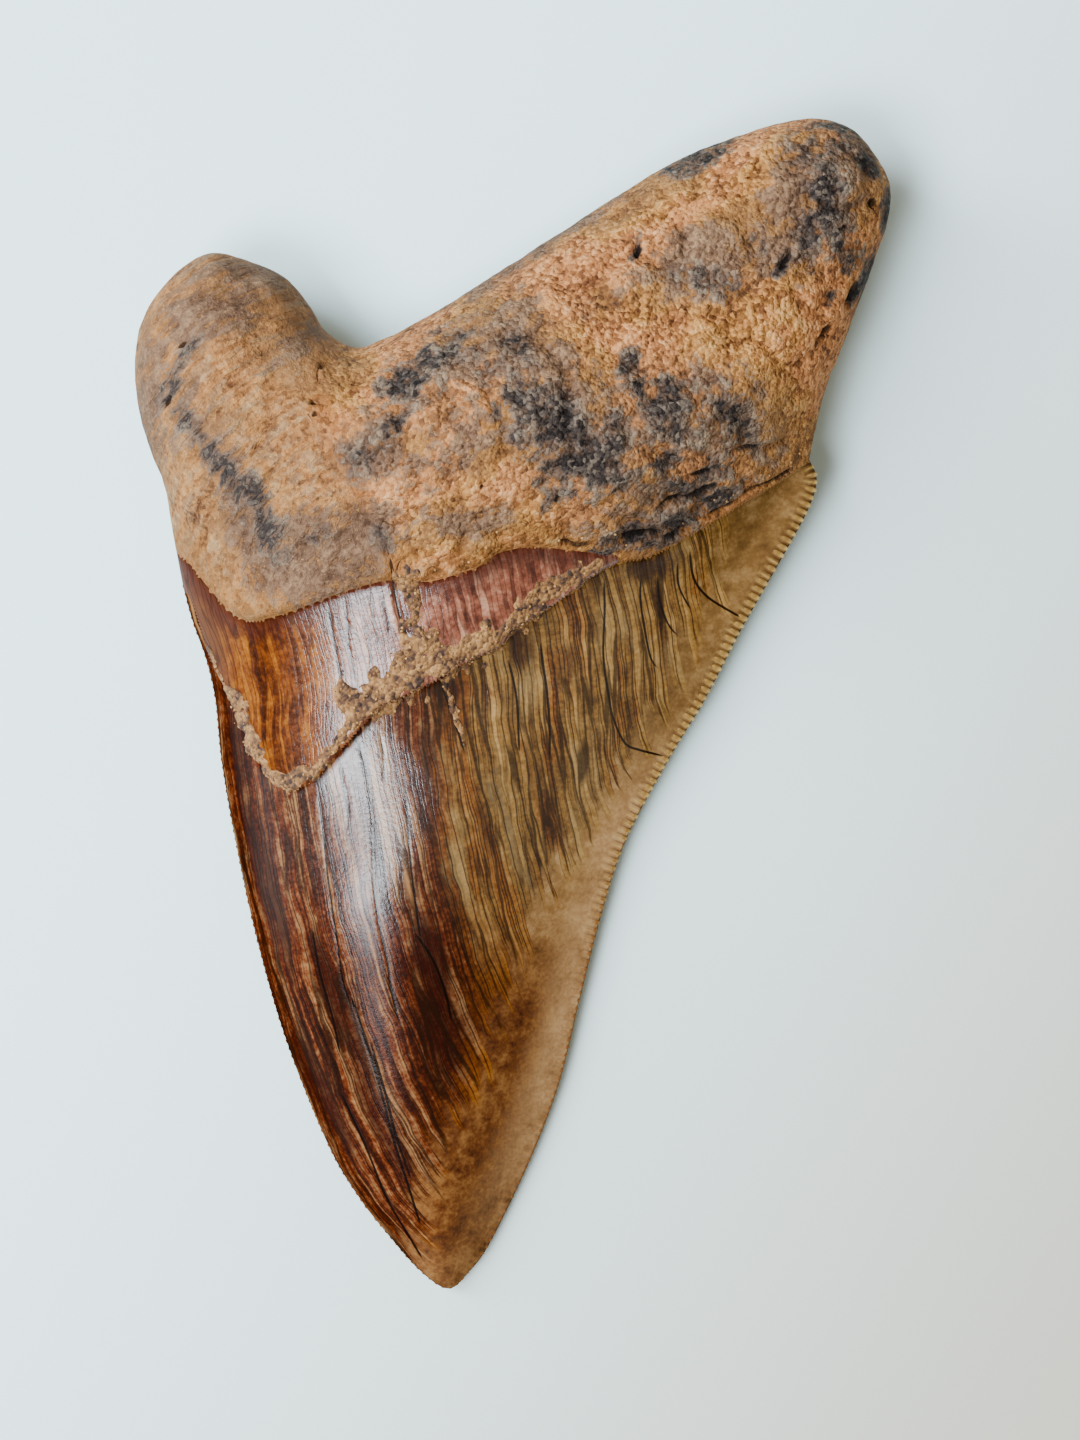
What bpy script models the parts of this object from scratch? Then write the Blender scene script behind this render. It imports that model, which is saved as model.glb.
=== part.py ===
"""A fossil megalodon tooth, lying on its flatter outer face with the bulging inner face up.

X runs across the root, Y from the tip (negative) to the root (positive) and Z up from the
surface that the tooth rests on. The origin is under the middle of the tooth. The tooth grew as
one piece, so it is one solid: a blade-edged enamel crown, a heavy two-lobed root, and between
them the band of thin enamel called the bourlette, under the lip of the root.
Sizes below are in millimetres, and the mesh is made in metres.
"""

import math

import bmesh
import bpy
import numpy as np
from mathutils import Vector, noise
from mathutils.geometry import delaunay_2d_cdt

MM = 0.001

# The outline, seen from above and taken anticlockwise: down the left cutting edge, round the
# tip and up the right cutting edge, then over the right lobe, the notch and the left lobe.
CROWN_EDGE = [
    (-34.3, 12.3), (-33.4, 8.8), (-32.0, 4.7), (-31.1, 0.5), (-30.5, -5.8), (-29.1, -14.1),
    (-26.9, -24.4), (-23.8, -35.2), (-19.5, -46.0), (-16.3, -51.5), (-13.1, -55.6), (-9.8, -59.3),
    (-6.9, -61.1), (-4.7, -59.3), (-2.5, -56.2), (1.6, -47.7), (4.7, -39.5), (6.9, -30.6),
    (9.1, -21.9), (11.6, -14.2), (16.0, -5.8), (19.8, 0.5), (23.5, 7.7), (27.6, 15.0),
    (30.4, 20.3), (31.2, 23.3), (30.4, 25.3),
]
ROOT_EDGE = [
    (30.4, 25.3), (31.0, 28.8), (32.1, 32.9), (33.8, 37.2), (36.9, 45.6), (38.6, 51.0),
    (38.0, 54.6), (34.6, 58.8), (29.6, 60.0), (22.8, 58.2), (15.1, 54.9), (6.8, 49.7),
    (-1.4, 44.4), (-9.6, 39.3), (-13.4, 37.4), (-16.2, 36.6), (-19.2, 38.2), (-20.8, 40.7),
    (-23.4, 43.8), (-27.4, 45.6), (-31.2, 46.2), (-35.2, 43.6), (-38.2, 38.8), (-38.8, 33.0),
    (-37.7, 27.3), (-36.0, 22.6), (-35.1, 17.0), (-34.3, 12.3),
]
TIP = (-6.9, -61.1)
ORIGIN = (-0.1, -0.6)  # the middle of the outline, which is the part's origin

# The lower lip of the root on the inner face, and the lower side of the chevron ridge that ends
# the bourlette. The two run together on the right, where the bourlette pinches out.
ROOT_LIP = [
    (-38.0, 17.5), (-34.0, 15.4), (-31.2, 12.2), (-29.1, 9.9), (-27.0, 8.7), (-23.9, 9.1),
    (-19.7, 10.5), (-16.4, 11.6), (-12.1, 12.6), (-8.6, 12.4), (-5.8, 13.1), (-3.2, 14.0),
    (-1.3, 15.3), (2.2, 15.9), (5.6, 15.6), (9.0, 15.3), (11.2, 15.3), (13.5, 15.7),
    (16.6, 17.1), (22.2, 20.5), (27.4, 23.7), (30.6, 25.7), (34.0, 27.7),
]
CHEVRON = [
    (-38.0, 14.0), (-33.7, 11.5), (-31.3, 4.4), (-28.5, 0.5), (-27.3, -3.6), (-25.7, -6.5),
    (-22.9, -8.6), (-20.4, -7.6), (-17.9, -5.0), (-15.6, -2.5), (-13.5, -0.4), (-10.6, 1.1),
    (-7.5, 2.6), (-5.5, 3.9), (-3.4, 5.0), (-1.3, 5.9), (-0.1, 7.6), (1.9, 8.7),
    (5.9, 11.5), (8.4, 13.3), (11.2, 14.5), (13.5, 14.9), (16.6, 16.4), (22.2, 19.8),
    (27.4, 23.0), (30.3, 25.0), (34.0, 27.0),
]
# Where the enamel ends on the outer face: it reaches further up the tooth there.
OUTER_LIP = [(-38.0, 13.0), (-24.0, 17.5), (-8.0, 22.5), (10.0, 23.0), (24.0, 24.0), (36.0, 26.5)]

# Heights along the tooth: (Y, the cutting edge and the root's side) and (Y, the middle of the
# underside, which arches a little between the tip and the root).
RIM_HEIGHT = [(-61, 1.7), (-48, 1.9), (-30, 2.5), (-10, 3.3), (5, 4.3), (16, 6.0), (26, 8.2), (36, 9.2), (60, 9.2)]
BELLY_HEIGHT = [(-61, 0.9), (-52, 0.2), (-44, -0.4), (-34, 0.2), (-16, 1.1), (4, 1.9), (20, 2.4), (34, 1.2), (60, 0.9)]

CROWN_RISE = 15.2  # the crown's crest above its edges, where it is FULL_WIDTH wide
FULL_WIDTH = 65.0
CROWN_TAPER = 0.70  # the crest falls with this power of the width
CREST_PLACE = 0.42  # the share of the width from the left edge to the crest
LOBE_RISE = 9.3  # the lobes' tops above the root's side
BULGE_RISE = 7.2  # the root's inner bulge above that
BULGE_CENTRE = (-1.0, 24.0)
BULGE_RADII = (24.0, 15.0)
ROLL_RADIUS = 10.5  # how far in the root's round sides reach
PAD_CENTRES = [(-29.0, 35.0), (28.0, 48.0)]  # where the lobes touch the surface
PAD_RADIUS = 8.0
PAD_DROP = 2.9
LIP_STEP = 0.8  # how far the root's lip stands over the bourlette
LIP_END = (3.0, 9.0)  # X over which the lip dies out into the chevron ridge
CHEVRON_STEP = (0.4, 2.0)  # the ridge over the crown, at the chevron's left arm and its right end
HOLLOW_CENTRE = (-5.5, 0.0)  # a shallow hollow under the chevron's right arm
HOLLOW_RADII = (5.0, 3.6)
HOLLOW_DEPTH = 0.7
CHEVRON_RIDGE = 0.5
CHEVRON_WIDTH = 0.9
OUTER_STEP = 0.5
STEP_FADE = 14.0  # how far down the crown the steps die out
LUMP_HEIGHT = 0.55
LUMP_SIZE = 7.0

SERRATION_PITCH = 0.84
SERRATION_DEPTH = 0.34
SERRATION_START = 3.0  # plain edge at each shoulder
EDGE_SPACING = 1.7  # points along the root's outline
CROWN_RIM = 0.7  # the width of the strip of triangles behind the serrations
ROOT_RIM = 0.35
RING_DEPTHS = [1.1, 2.3, 4.0, 6.6]  # rows of points that follow the outline further in
GRID_TOP = 1.75
GRID_UNDER = 2.7
LIP_ROWS = (-0.3, 0.3)
CHEVRON_ROWS = (-1.5, -0.35, 0.3, 1.3)

TOOTH_COLOUR = (0.31, 0.16, 0.07, 1.0)
TOOTH_ROUGHNESS = 0.5


def smooth_curve(points, spacing):
    """Points about spacing apart on a Catmull-Rom curve through the given points."""
    points = np.array(points, float)
    knots = np.vstack([2 * points[0] - points[1], points, 2 * points[-1] - points[-2]])
    fine = []
    for before, start, end, after in zip(knots, knots[1:], knots[2:], knots[3:]):
        for t in np.linspace(0, 1, 24, endpoint=False):
            fine.append(0.5 * (2 * start + (end - before) * t
                               + (2 * before - 5 * start + 4 * end - after) * t ** 2
                               + (3 * start - before - 3 * end + after) * t ** 3))
    fine.append(knots[-2])
    fine = np.array(fine)
    length = np.concatenate([[0], np.cumsum(np.hypot(*np.diff(fine, axis=0).T))])
    stops = np.linspace(0, length[-1], max(2, round(length[-1] / spacing) + 1))
    return np.column_stack([np.interp(stops, length, fine[:, axis]) for axis in (0, 1)])


def along(y, stations):
    """A value read at y from (y, value) stations, eased between them."""
    ys, values = np.array(stations, float).T
    fine = np.linspace(ys[0], ys[-1], 241)
    reach = 8
    padded = np.pad(np.interp(fine, ys, values), reach, mode="edge")
    eased = np.convolve(padded, np.ones(2 * reach + 1) / (2 * reach + 1), mode="valid")
    return np.interp(y, fine, eased)


def distance_to(places, line):
    """How far each place is from a polyline."""
    starts, steps = line[:-1], np.diff(line, axis=0)
    offset = places[:, None, :] - starts[None]
    share = np.clip((offset * steps).sum(2) / (steps ** 2).sum(1), 0, 1)
    return np.sqrt(((offset - share[..., None] * steps) ** 2).sum(2).min(1))


def side_of(places, points):
    """Signed distance from a line that runs across the tooth, positive on the root's side."""
    line = smooth_curve(points, 1.0)
    above = places[:, 1] > np.interp(places[:, 0], line[:, 0], line[:, 1])
    return np.where(above, 1, -1) * distance_to(places, line)


def ease(value, low, high):
    t = np.clip((value - low) / (high - low), 0, 1)
    return t * t * (3 - 2 * t)


def spot(places, centre, radii):
    return np.exp(-(((places - centre) / radii) ** 2).sum(1))


def inward_from(line):
    """The direction into the tooth at each point of a line that has it on the left."""
    tangent = np.gradient(line, axis=0)
    return np.column_stack([-tangent[:, 1], tangent[:, 0]]) / np.hypot(*tangent.T)[:, None]


def serrated(edge):
    """The cutting edge as small points and notches, fading out at the shoulders."""
    run = np.concatenate([[0], np.cumsum(np.hypot(*np.diff(edge, axis=0).T))])
    strength = ease(np.minimum(run, run[-1] - run), 0.5 * SERRATION_START, SERRATION_START)
    swing = np.where(np.arange(len(edge)) % 2, -0.5, 0.5) * SERRATION_DEPTH * strength
    return edge + inward_from(edge) * swing[:, None]


def rings(edge, depths, spacing):
    """Points on lines that follow an edge at each depth inside it."""
    made = []
    for depth in depths:
        line = smooth_curve(edge, max(spacing, 0.9 * depth))
        made.append((line + depth * inward_from(line))[1:-1])
    return made


def rows_beside(points, offsets, spacing):
    """Rows of points on each side of a line across the tooth, so that its step is crisp."""
    line = smooth_curve(points, spacing)
    return [line + offset * inward_from(line) for offset in offsets]


def hex_grid(spacing):
    rows = np.arange(-63, 63, spacing * math.sqrt(0.75))
    columns = np.arange(-41, 41, spacing)
    return np.array([(x + spacing / 2 * (i % 2), y) for i, y in enumerate(rows) for x in columns])


def inside(places, outline):
    """Which places lie inside the outline, by counting crossings to the right of each."""
    start, end = outline, np.roll(outline, -1, axis=0)
    x, y = places[:, :1], places[:, 1:]
    straddles = (start[:, 1] > y) != (end[:, 1] > y)
    rise = np.where(end[:, 1] == start[:, 1], 1e-9, end[:, 1] - start[:, 1])
    crossing = start[:, 0] + (y - start[:, 1]) / rise * (end[:, 0] - start[:, 0])
    return (straddles & (x < crossing)).sum(1) % 2 == 1


def thinned(groups, outline, gaps):
    """Inner points, each kept only where it is clear of the outline and of those kept before."""
    closed = np.vstack([outline, outline[:1]])
    kept = np.empty((0, 2))
    for group, (from_edge, from_others) in zip(groups, gaps):
        group = group[inside(group, outline)]
        group = group[distance_to(group, closed) > from_edge]
        for place in group:
            if not len(kept) or ((kept - place) ** 2).sum(1).min() > from_others ** 2:
                kept = np.vstack([kept, place])
    return kept


class Tooth:
    """The outline and the two faces' heights over it."""

    def __init__(self):
        crown = smooth_curve(CROWN_EDGE, SERRATION_PITCH / 2)
        root = smooth_curve(ROOT_EDGE, EDGE_SPACING)
        self.outline = np.vstack([serrated(crown)[:-1], root[:-1]])
        self.plain_outline = np.vstack([crown[:-1], root])
        peaks = (crown + CROWN_RIM * inward_from(crown))[1:-1:2]
        self.ring = np.vstack([peaks, (root + ROOT_RIM * inward_from(root))[:-1]])
        self.ring_of = [min(max(i - 1, 0) // 2, len(peaks) - 1) for i in range(len(crown) - 1)]
        self.ring_of += [len(peaks) + i for i in range(len(root) - 1)]
        turn = np.hypot(*(crown - TIP).T).argmin()
        self.left = np.vstack([[(-38.8, 33.0), (-36.0, 22.6)], crown[:turn + 1]])
        self.right = np.vstack([crown[turn:], [(32.1, 32.9), (36.9, 45.6)]])

    def rim(self, places):
        return along(places[:, 1], RIM_HEIGHT)

    def roll(self, places, radius):
        """0 at the outline and 1 past the radius, as a quarter circle."""
        depth = distance_to(places, self.plain_outline)
        return np.sqrt(1 - (1 - np.clip(depth / radius, 0, 1)) ** 2)

    def inner_face(self, places):
        """The bulging face, which lies up: crown, bourlette and root."""
        from_left, from_right = distance_to(places, self.left), distance_to(places, self.right)
        width = from_left + from_right + 1e-6
        share = from_left / width
        left_flank = (1 - (1 - np.clip(share / CREST_PLACE, 0, 1)) ** 2.1) ** 0.72
        run = np.clip((1 - share) / (1 - CREST_PLACE), 0, 1)
        right_flank = 0.6 * run * (2 - run) + 0.4 * np.sin(run * math.pi / 2) ** 2
        section = np.where(share < CREST_PLACE, left_flank, right_flank)
        crown = CROWN_RISE * (width / FULL_WIDTH) ** CROWN_TAPER * section

        bulge = BULGE_RISE * spot(places, BULGE_CENTRE, BULGE_RADII)
        root = (LOBE_RISE + bulge) * self.roll(places, ROLL_RADIUS)
        lumps = np.array([noise.noise(Vector((x / LUMP_SIZE, y / LUMP_SIZE, 3.0))) for x, y in places])
        root += LUMP_HEIGHT * lumps * self.roll(places, ROLL_RADIUS)

        past_chevron, past_lip = side_of(places, CHEVRON), side_of(places, ROOT_LIP)
        height = crown + (root - crown) * ease(past_lip, -5, 11)
        inboard = ease(distance_to(places, self.plain_outline), 0.2, 4.0)
        fade = ease(past_chevron, -STEP_FADE, 0)
        chevron_step = np.interp(places[:, 0], (-20, -3), CHEVRON_STEP)
        lip_step = LIP_STEP * (1 - ease(places[:, 0], *LIP_END))
        height -= lip_step * np.where(past_lip > 0, 0, fade) * inboard
        height -= chevron_step * np.where(past_chevron > 0, 0, fade) * inboard
        height -= HOLLOW_DEPTH * spot(places, HOLLOW_CENTRE, HOLLOW_RADII) * (past_chevron < 0)
        height += CHEVRON_RIDGE * np.exp(-((past_chevron - 0.9) / CHEVRON_WIDTH) ** 2) * inboard
        return self.rim(places) + np.maximum(height, 0)

    def outer_face(self, places):
        """The flatter face, which lies down and is flat where it touches the surface."""
        from_left, from_right = distance_to(places, self.left), distance_to(places, self.right)
        share = from_left / (from_left + from_right + 1e-6)
        section = (4 * share * (1 - share)) ** 0.75
        past_lip = side_of(places, OUTER_LIP)
        rounded = self.roll(places, ROLL_RADIUS)
        section += (rounded - section) * ease(past_lip, -8, 8)
        belly = along(places[:, 1], BELLY_HEIGHT)
        belly += OUTER_STEP * np.where(past_lip > 0, 0, ease(past_lip, -STEP_FADE, 0))
        for centre in PAD_CENTRES:
            belly -= PAD_DROP * spot(places, centre, PAD_RADIUS)
        rim = self.rim(places)
        return np.maximum(rim + (belly - rim) * section, 0)


def face_mesh(outline, inner):
    """A triangle mesh of the outline's inside: (places, triangles)."""
    places = [Vector(p) for p in np.vstack([outline, inner])]
    loop = [(i, (i + 1) % len(outline)) for i in range(len(outline))]
    made, _, faces, _, _, _ = delaunay_2d_cdt(places, loop, [], 1, 1e-6)
    return np.array([tuple(p) for p in made]), [tuple(f) for f in faces]


def build_tooth():
    tooth = Tooth()
    root_rows = rings(ROOT_EDGE, RING_DEPTHS, EDGE_SPACING)
    crown_rows = rings(CROWN_EDGE, RING_DEPTHS[1:], EDGE_SPACING)
    lip_rows = rows_beside(ROOT_LIP, LIP_ROWS, 1.5)
    chevron_rows = rows_beside(CHEVRON, CHEVRON_ROWS, 1.5)
    top_groups = lip_rows + chevron_rows + root_rows + crown_rows + [hex_grid(GRID_TOP)]
    top_gaps = (
        [(0.5, 0.28)] * (len(lip_rows) + len(chevron_rows))
        + [(0.5, 0.6)] * len(root_rows)
        + [(0.8, 0.8)] * len(crown_rows)
        + [(0.9, 0.75 * GRID_TOP)]
    )
    under_groups = rows_beside(OUTER_LIP, LIP_ROWS, 2.2) + root_rows + crown_rows[:1]
    under_groups.append(hex_grid(GRID_UNDER))
    under_gaps = (
        [(0.6, 0.5)] * len(LIP_ROWS)
        + [(0.5, 1.1)] * len(root_rows)
        + [(0.8, 0.8)]
        + [(1.2, 0.75 * GRID_UNDER)]
    )

    mesh = bmesh.new()

    def add(places, heights):
        return [
            mesh.verts.new(((x - ORIGIN[0]) * MM, (y - ORIGIN[1]) * MM, z * MM))
            for (x, y), z in zip(places, heights)
        ]

    rim = add(tooth.outline, tooth.rim(tooth.outline))
    for groups, gaps, height_of in (
        (top_groups, top_gaps, tooth.inner_face), (under_groups, under_gaps, tooth.outer_face),
    ):
        places, triangles = face_mesh(tooth.ring, thinned(groups, tooth.ring, gaps))
        verts = add(places, height_of(places))
        for a, b, c in triangles:
            mesh.faces.new((verts[a], verts[b], verts[c]))
        for here in range(len(rim)):
            there = (here + 1) % len(rim)
            near, far = verts[tooth.ring_of[here]], verts[tooth.ring_of[there]]
            mesh.faces.new((rim[here], rim[there], far))
            if near != far:
                mesh.faces.new((rim[here], far, near))
    bmesh.ops.recalc_face_normals(mesh, faces=mesh.faces)
    data = bpy.data.meshes.new("tooth")
    mesh.to_mesh(data)
    mesh.free()
    data.shade_smooth()
    data.set_sharp_from_angle(angle=math.radians(50))
    data.materials.append(tooth_material())
    solid = bpy.data.objects.new("tooth", data)
    bpy.context.scene.collection.objects.link(solid)


def tooth_material():
    material = bpy.data.materials.new("fossil_enamel_and_root")
    material.use_nodes = True
    shader = material.node_tree.nodes["Principled BSDF"]
    shader.inputs["Base Color"].default_value = TOOTH_COLOUR
    shader.inputs["Roughness"].default_value = TOOTH_ROUGHNESS
    return material


for old in list(bpy.data.objects):
    bpy.data.objects.remove(old)
build_tooth()
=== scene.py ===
"""A fossil megalodon tooth, lying on a pale table under a soft window light.

The tooth is one grown piece. Here it is made again as a fine skin over the same outline and the
same two faces as the CAD solid, with its worn relief, its cracks and the finish of each surface.
Its serrations, the silt in its chevron and the loose grains are pieces of their own.
Lengths along the tooth are in millimetres until they become mesh points, which are in metres.
"""

import math

import bpy
import numpy as np
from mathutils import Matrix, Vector, noise
from mathutils.geometry import delaunay_2d_cdt
from mathutils.kdtree import KDTree


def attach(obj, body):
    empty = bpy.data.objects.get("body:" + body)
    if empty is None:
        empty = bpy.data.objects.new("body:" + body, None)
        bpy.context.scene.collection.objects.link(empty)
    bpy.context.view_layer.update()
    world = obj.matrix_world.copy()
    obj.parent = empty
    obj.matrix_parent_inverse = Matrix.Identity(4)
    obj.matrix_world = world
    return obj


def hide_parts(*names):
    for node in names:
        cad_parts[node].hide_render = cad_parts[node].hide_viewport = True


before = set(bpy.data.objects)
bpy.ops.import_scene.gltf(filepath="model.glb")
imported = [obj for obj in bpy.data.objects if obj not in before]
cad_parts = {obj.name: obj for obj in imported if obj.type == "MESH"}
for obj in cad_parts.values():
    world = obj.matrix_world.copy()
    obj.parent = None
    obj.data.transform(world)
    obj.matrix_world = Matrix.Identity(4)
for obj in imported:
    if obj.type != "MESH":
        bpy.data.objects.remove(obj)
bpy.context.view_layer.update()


# The camera.
# The photograph is taken from straight above, close to its middle, with the tip towards the
# bottom of the picture.
IMAGE_LONG_SIDE = 1440
PIXELS_PER_MM = 9.72  # at SCALE_HEIGHT, about half way up the tooth
SCALE_HEIGHT = 0.008
CAMERA_HEIGHT = 0.340
CAMERA_AIM = (0.0028, -0.0009)
SENSOR = 36.0

camera_data = bpy.data.cameras.new("camera")
camera_data.sensor_width = SENSOR
camera_data.lens = SENSOR * PIXELS_PER_MM * (CAMERA_HEIGHT - SCALE_HEIGHT) * 1000 / IMAGE_LONG_SIDE
camera_data.clip_start = 0.01


def in_scene(name, data):
    """An object with the given data, linked to the scene."""
    thing = bpy.data.objects.new(name, data)
    bpy.context.scene.collection.objects.link(thing)
    return thing


camera = in_scene("camera", camera_data)
camera.location = (*CAMERA_AIM, CAMERA_HEIGHT)
bpy.context.scene.camera = camera


# The tooth.
# A shark's tooth turned to stone: a core of porous dentine that is bare on the root and capped
# with hard enamel on the crown. It grew in one piece, so it is one closed skin with three finishes.

# Its outline. Two cutting edges meet at the tip; above them the root spreads into a short lobe on
# the left and a long one on the right, with a notch between them. Points run anticlockwise.
MM = 0.001
CROWN_EDGE = [
    (-34.3, 12.3), (-33.4, 8.8), (-32.0, 4.7), (-31.1, 0.5), (-30.5, -5.8), (-29.1, -14.1),
    (-26.9, -24.4), (-23.8, -35.2), (-19.5, -46.0), (-16.3, -51.5), (-13.1, -55.6), (-9.8, -59.3),
    (-6.9, -61.1), (-4.7, -59.3), (-2.5, -56.2), (1.6, -47.7), (4.7, -39.5), (6.9, -30.6),
    (9.1, -21.9), (11.6, -14.2), (16.0, -5.8), (19.8, 0.5), (23.5, 7.7), (27.6, 15.0),
    (30.4, 20.3), (31.2, 23.3), (30.4, 25.3),
]
ROOT_EDGE = [
    (30.4, 25.3), (31.0, 28.8), (32.1, 32.9), (33.8, 37.2), (36.9, 45.6), (38.6, 51.0),
    (38.0, 54.6), (34.6, 58.8), (29.6, 60.0), (22.8, 58.2), (15.1, 54.9), (6.8, 49.7),
    (-1.4, 44.4), (-9.6, 39.3), (-13.4, 37.4), (-16.2, 36.6), (-19.2, 38.2), (-20.8, 40.7),
    (-23.4, 43.8), (-27.4, 45.6), (-31.2, 46.2), (-35.2, 43.6), (-38.2, 38.8), (-38.8, 33.0),
    (-37.7, 27.3), (-36.0, 22.6), (-35.1, 17.0), (-34.3, 12.3),
]
TIP = (-6.9, -61.1)
ORIGIN = (-0.1, -0.6, 0.0)  # the middle of the outline, which is the part's origin
EDGE_SPACING = 0.36
STEPS_PER_SPAN = 24  # of a curve, between two of its given points
AT_A_TIME = 3000  # places measured at once, to spare memory


def smooth_curve(points, spacing):
    """Points about spacing apart on a Catmull-Rom curve through the given points."""
    points = np.array(points, float)
    knots = np.vstack([2 * points[0] - points[1], points, 2 * points[-1] - points[-2]])
    fine = []
    for before, start, end, after in zip(knots, knots[1:], knots[2:], knots[3:]):
        for t in np.linspace(0, 1, STEPS_PER_SPAN, endpoint=False):
            fine.append(0.5 * (2 * start + (end - before) * t
                               + (2 * before - 5 * start + 4 * end - after) * t ** 2
                               + (3 * start - before - 3 * end + after) * t ** 3))
    fine = np.array(fine + [knots[-2]])
    length = np.concatenate([[0], np.cumsum(np.hypot(*np.diff(fine, axis=0)[:, :2].T))])
    stops = np.linspace(0, length[-1], max(2, round(length[-1] / spacing) + 1))
    return np.column_stack([np.interp(stops, length, column) for column in fine.T])


def nearest_on(places, line):
    """How far each place is from a line of points, and how far along the line it is nearest."""
    starts, steps = line[:-1, :2], np.diff(line[:, :2], axis=0)
    lengths = np.hypot(*steps.T)
    run_up = np.concatenate([[0], np.cumsum(lengths)[:-1]])
    apart, along_line = [], []
    for some in np.array_split(places, len(places) // AT_A_TIME + 1):
        offset = some[:, None, :] - starts[None]
        share = np.clip((offset * steps).sum(2) / lengths ** 2, 0, 1)
        gaps = np.sqrt(((offset - share[..., None] * steps) ** 2).sum(2))
        best = gaps.argmin(1)
        rows = np.arange(len(some))
        apart.append(gaps[rows, best])
        along_line.append(run_up[best] + share[rows, best] * lengths[best])
    return np.concatenate(apart), np.concatenate(along_line)


def inward_from(line):
    """The direction into the tooth at each point of a line that has it on the left."""
    tangent = np.gradient(line, axis=0)
    return np.column_stack([-tangent[:, 1], tangent[:, 0]]) / np.hypot(*tangent.T)[:, None]


def ease(value, low, high):
    t = np.clip((value - low) / (high - low), 0, 1)
    return t * t * (3 - 2 * t)


crown_edge = smooth_curve(CROWN_EDGE, EDGE_SPACING)
root_edge = smooth_curve(ROOT_EDGE, EDGE_SPACING)
outline = np.vstack([crown_edge, root_edge[1:]])
at_tip = np.hypot(*(crown_edge - TIP).T).argmin()
left_edge = np.vstack([[(-38.8, 33.0), (-36.0, 22.6)], crown_edge[:at_tip + 1]])
right_edge = np.vstack([crown_edge[at_tip:], [(32.1, 32.9), (36.9, 45.6)]])

# The lines across it. The root ends in a lip over the bourlette, the band of thin enamel. The
# chevron ends the bourlette: on the left it is a V, and on the right it runs into the root's lip
# as one ledge. The outer face has one gentle arch instead.
ROOT_LIP = [
    (-38.0, 17.5), (-34.0, 15.4), (-31.2, 12.2), (-29.1, 9.9), (-27.0, 8.7), (-23.9, 9.1),
    (-19.7, 10.5), (-16.4, 11.6), (-12.1, 12.6), (-8.6, 12.4), (-5.8, 13.1), (-3.2, 14.0),
    (-1.3, 15.3), (2.2, 15.9), (5.6, 15.6), (9.0, 15.3), (11.2, 15.3), (13.5, 15.7),
    (16.6, 17.1), (22.2, 20.5), (27.4, 23.7), (30.6, 25.7), (34.0, 27.7),
]
CHEVRON = [
    (-38.0, 14.0), (-33.7, 11.5), (-31.3, 4.4), (-28.5, 0.5), (-27.3, -3.6), (-25.7, -6.5),
    (-22.9, -8.6), (-20.4, -7.6), (-17.9, -5.0), (-15.6, -2.5), (-13.5, -0.4), (-10.6, 1.1),
    (-7.5, 2.6), (-5.5, 3.9), (-3.4, 5.0), (-1.3, 5.9), (-0.1, 7.6), (1.9, 8.7),
    (5.9, 11.5), (8.4, 13.3), (11.2, 14.5), (13.5, 14.9), (16.6, 16.4), (22.2, 19.8),
    (27.4, 23.0), (30.3, 25.0), (34.0, 27.0),
]
OUTER_LIP = [(-38.0, 13.0), (-24.0, 17.5), (-8.0, 22.5), (10.0, 23.0), (24.0, 24.0), (36.0, 26.5)]


def side_of(places, points):
    """Signed distance from a line that runs across the tooth, positive on the root's side."""
    line = smooth_curve(points, 0.5)
    above = places[:, 1] > np.interp(places[:, 0], line[:, 0], line[:, 1])
    return np.where(above, 1, -1) * nearest_on(places, line)[0]


def measured(places, across):
    """Where each place is: from the cutting edges and the outline, and past the lines across."""
    lip, chevron = across
    return {
        "from_left": nearest_on(places, left_edge)[0],
        "from_right": nearest_on(places, right_edge)[0],
        "depth": nearest_on(places, outline)[0],
        "past_lip": side_of(places, lip),
        "past_chevron": side_of(places, chevron),
    }


# Its two faces. The inner face bulges: a rounded crest near the crown's left edge, a long slope to
# the right one, and a heavy root. The outer face is nearly flat.
RIM_HEIGHT = [
    (-61, 1.7), (-48, 1.9), (-30, 2.5), (-10, 3.3), (5, 4.3), (16, 6.0), (26, 8.2), (36, 9.2),
    (60, 9.2),
]
BELLY_HEIGHT = [
    (-61, 0.9), (-52, 0.2), (-44, -0.4), (-34, 0.2), (-16, 1.1), (4, 1.9), (20, 2.4), (34, 1.2),
    (60, 0.9),
]
CROWN_RISE = 15.2  # the crest above the edges, where the crown is FULL_WIDTH wide
FULL_WIDTH = 65.0
CROWN_TAPER = 0.70
CREST_PLACE = 0.42  # the share of the width from the left edge to the crest
LOBE_RISE = 9.3
BULGE_RISE = 7.2
BULGE_CENTRE = (-1.0, 24.0)
BULGE_RADII = (24.0, 15.0)
ROLL_RADIUS = 10.5  # how far in the root's round sides reach
PAD_CENTRES = [(-29.0, 35.0), (28.0, 48.0)]  # where the lobes touch the table
PAD_RADIUS = 8.0
PAD_DROP = 2.9
LIP_STEP = 0.8
LIP_END = (3.0, 9.0)
CHEVRON_STEP = (0.4, 2.0)
STEP_FADE = 14.0
HOLLOW_CENTRE = (-5.5, 0.0)
HOLLOW_RADII = (5.0, 3.6)
HOLLOW_DEPTH = 0.7
OUTER_STEP = 0.5
CROWN_INTO_ROOT = (-5, 11)  # from where to where past the lip the section turns into the root's
OUTER_INTO_ROOT = (-8, 8)
STEP_INBOARD = (0.2, 4.0)
LEFT_FLANK = (2.1, 0.72)  # how square it is, and how soon it rises
RIGHT_FLANK = (0.6, 0.4)  # the shares of a parabola and of a wave in it
LUMP_HEIGHT = 0.55
LUMP_SIZE = 7.0


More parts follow.
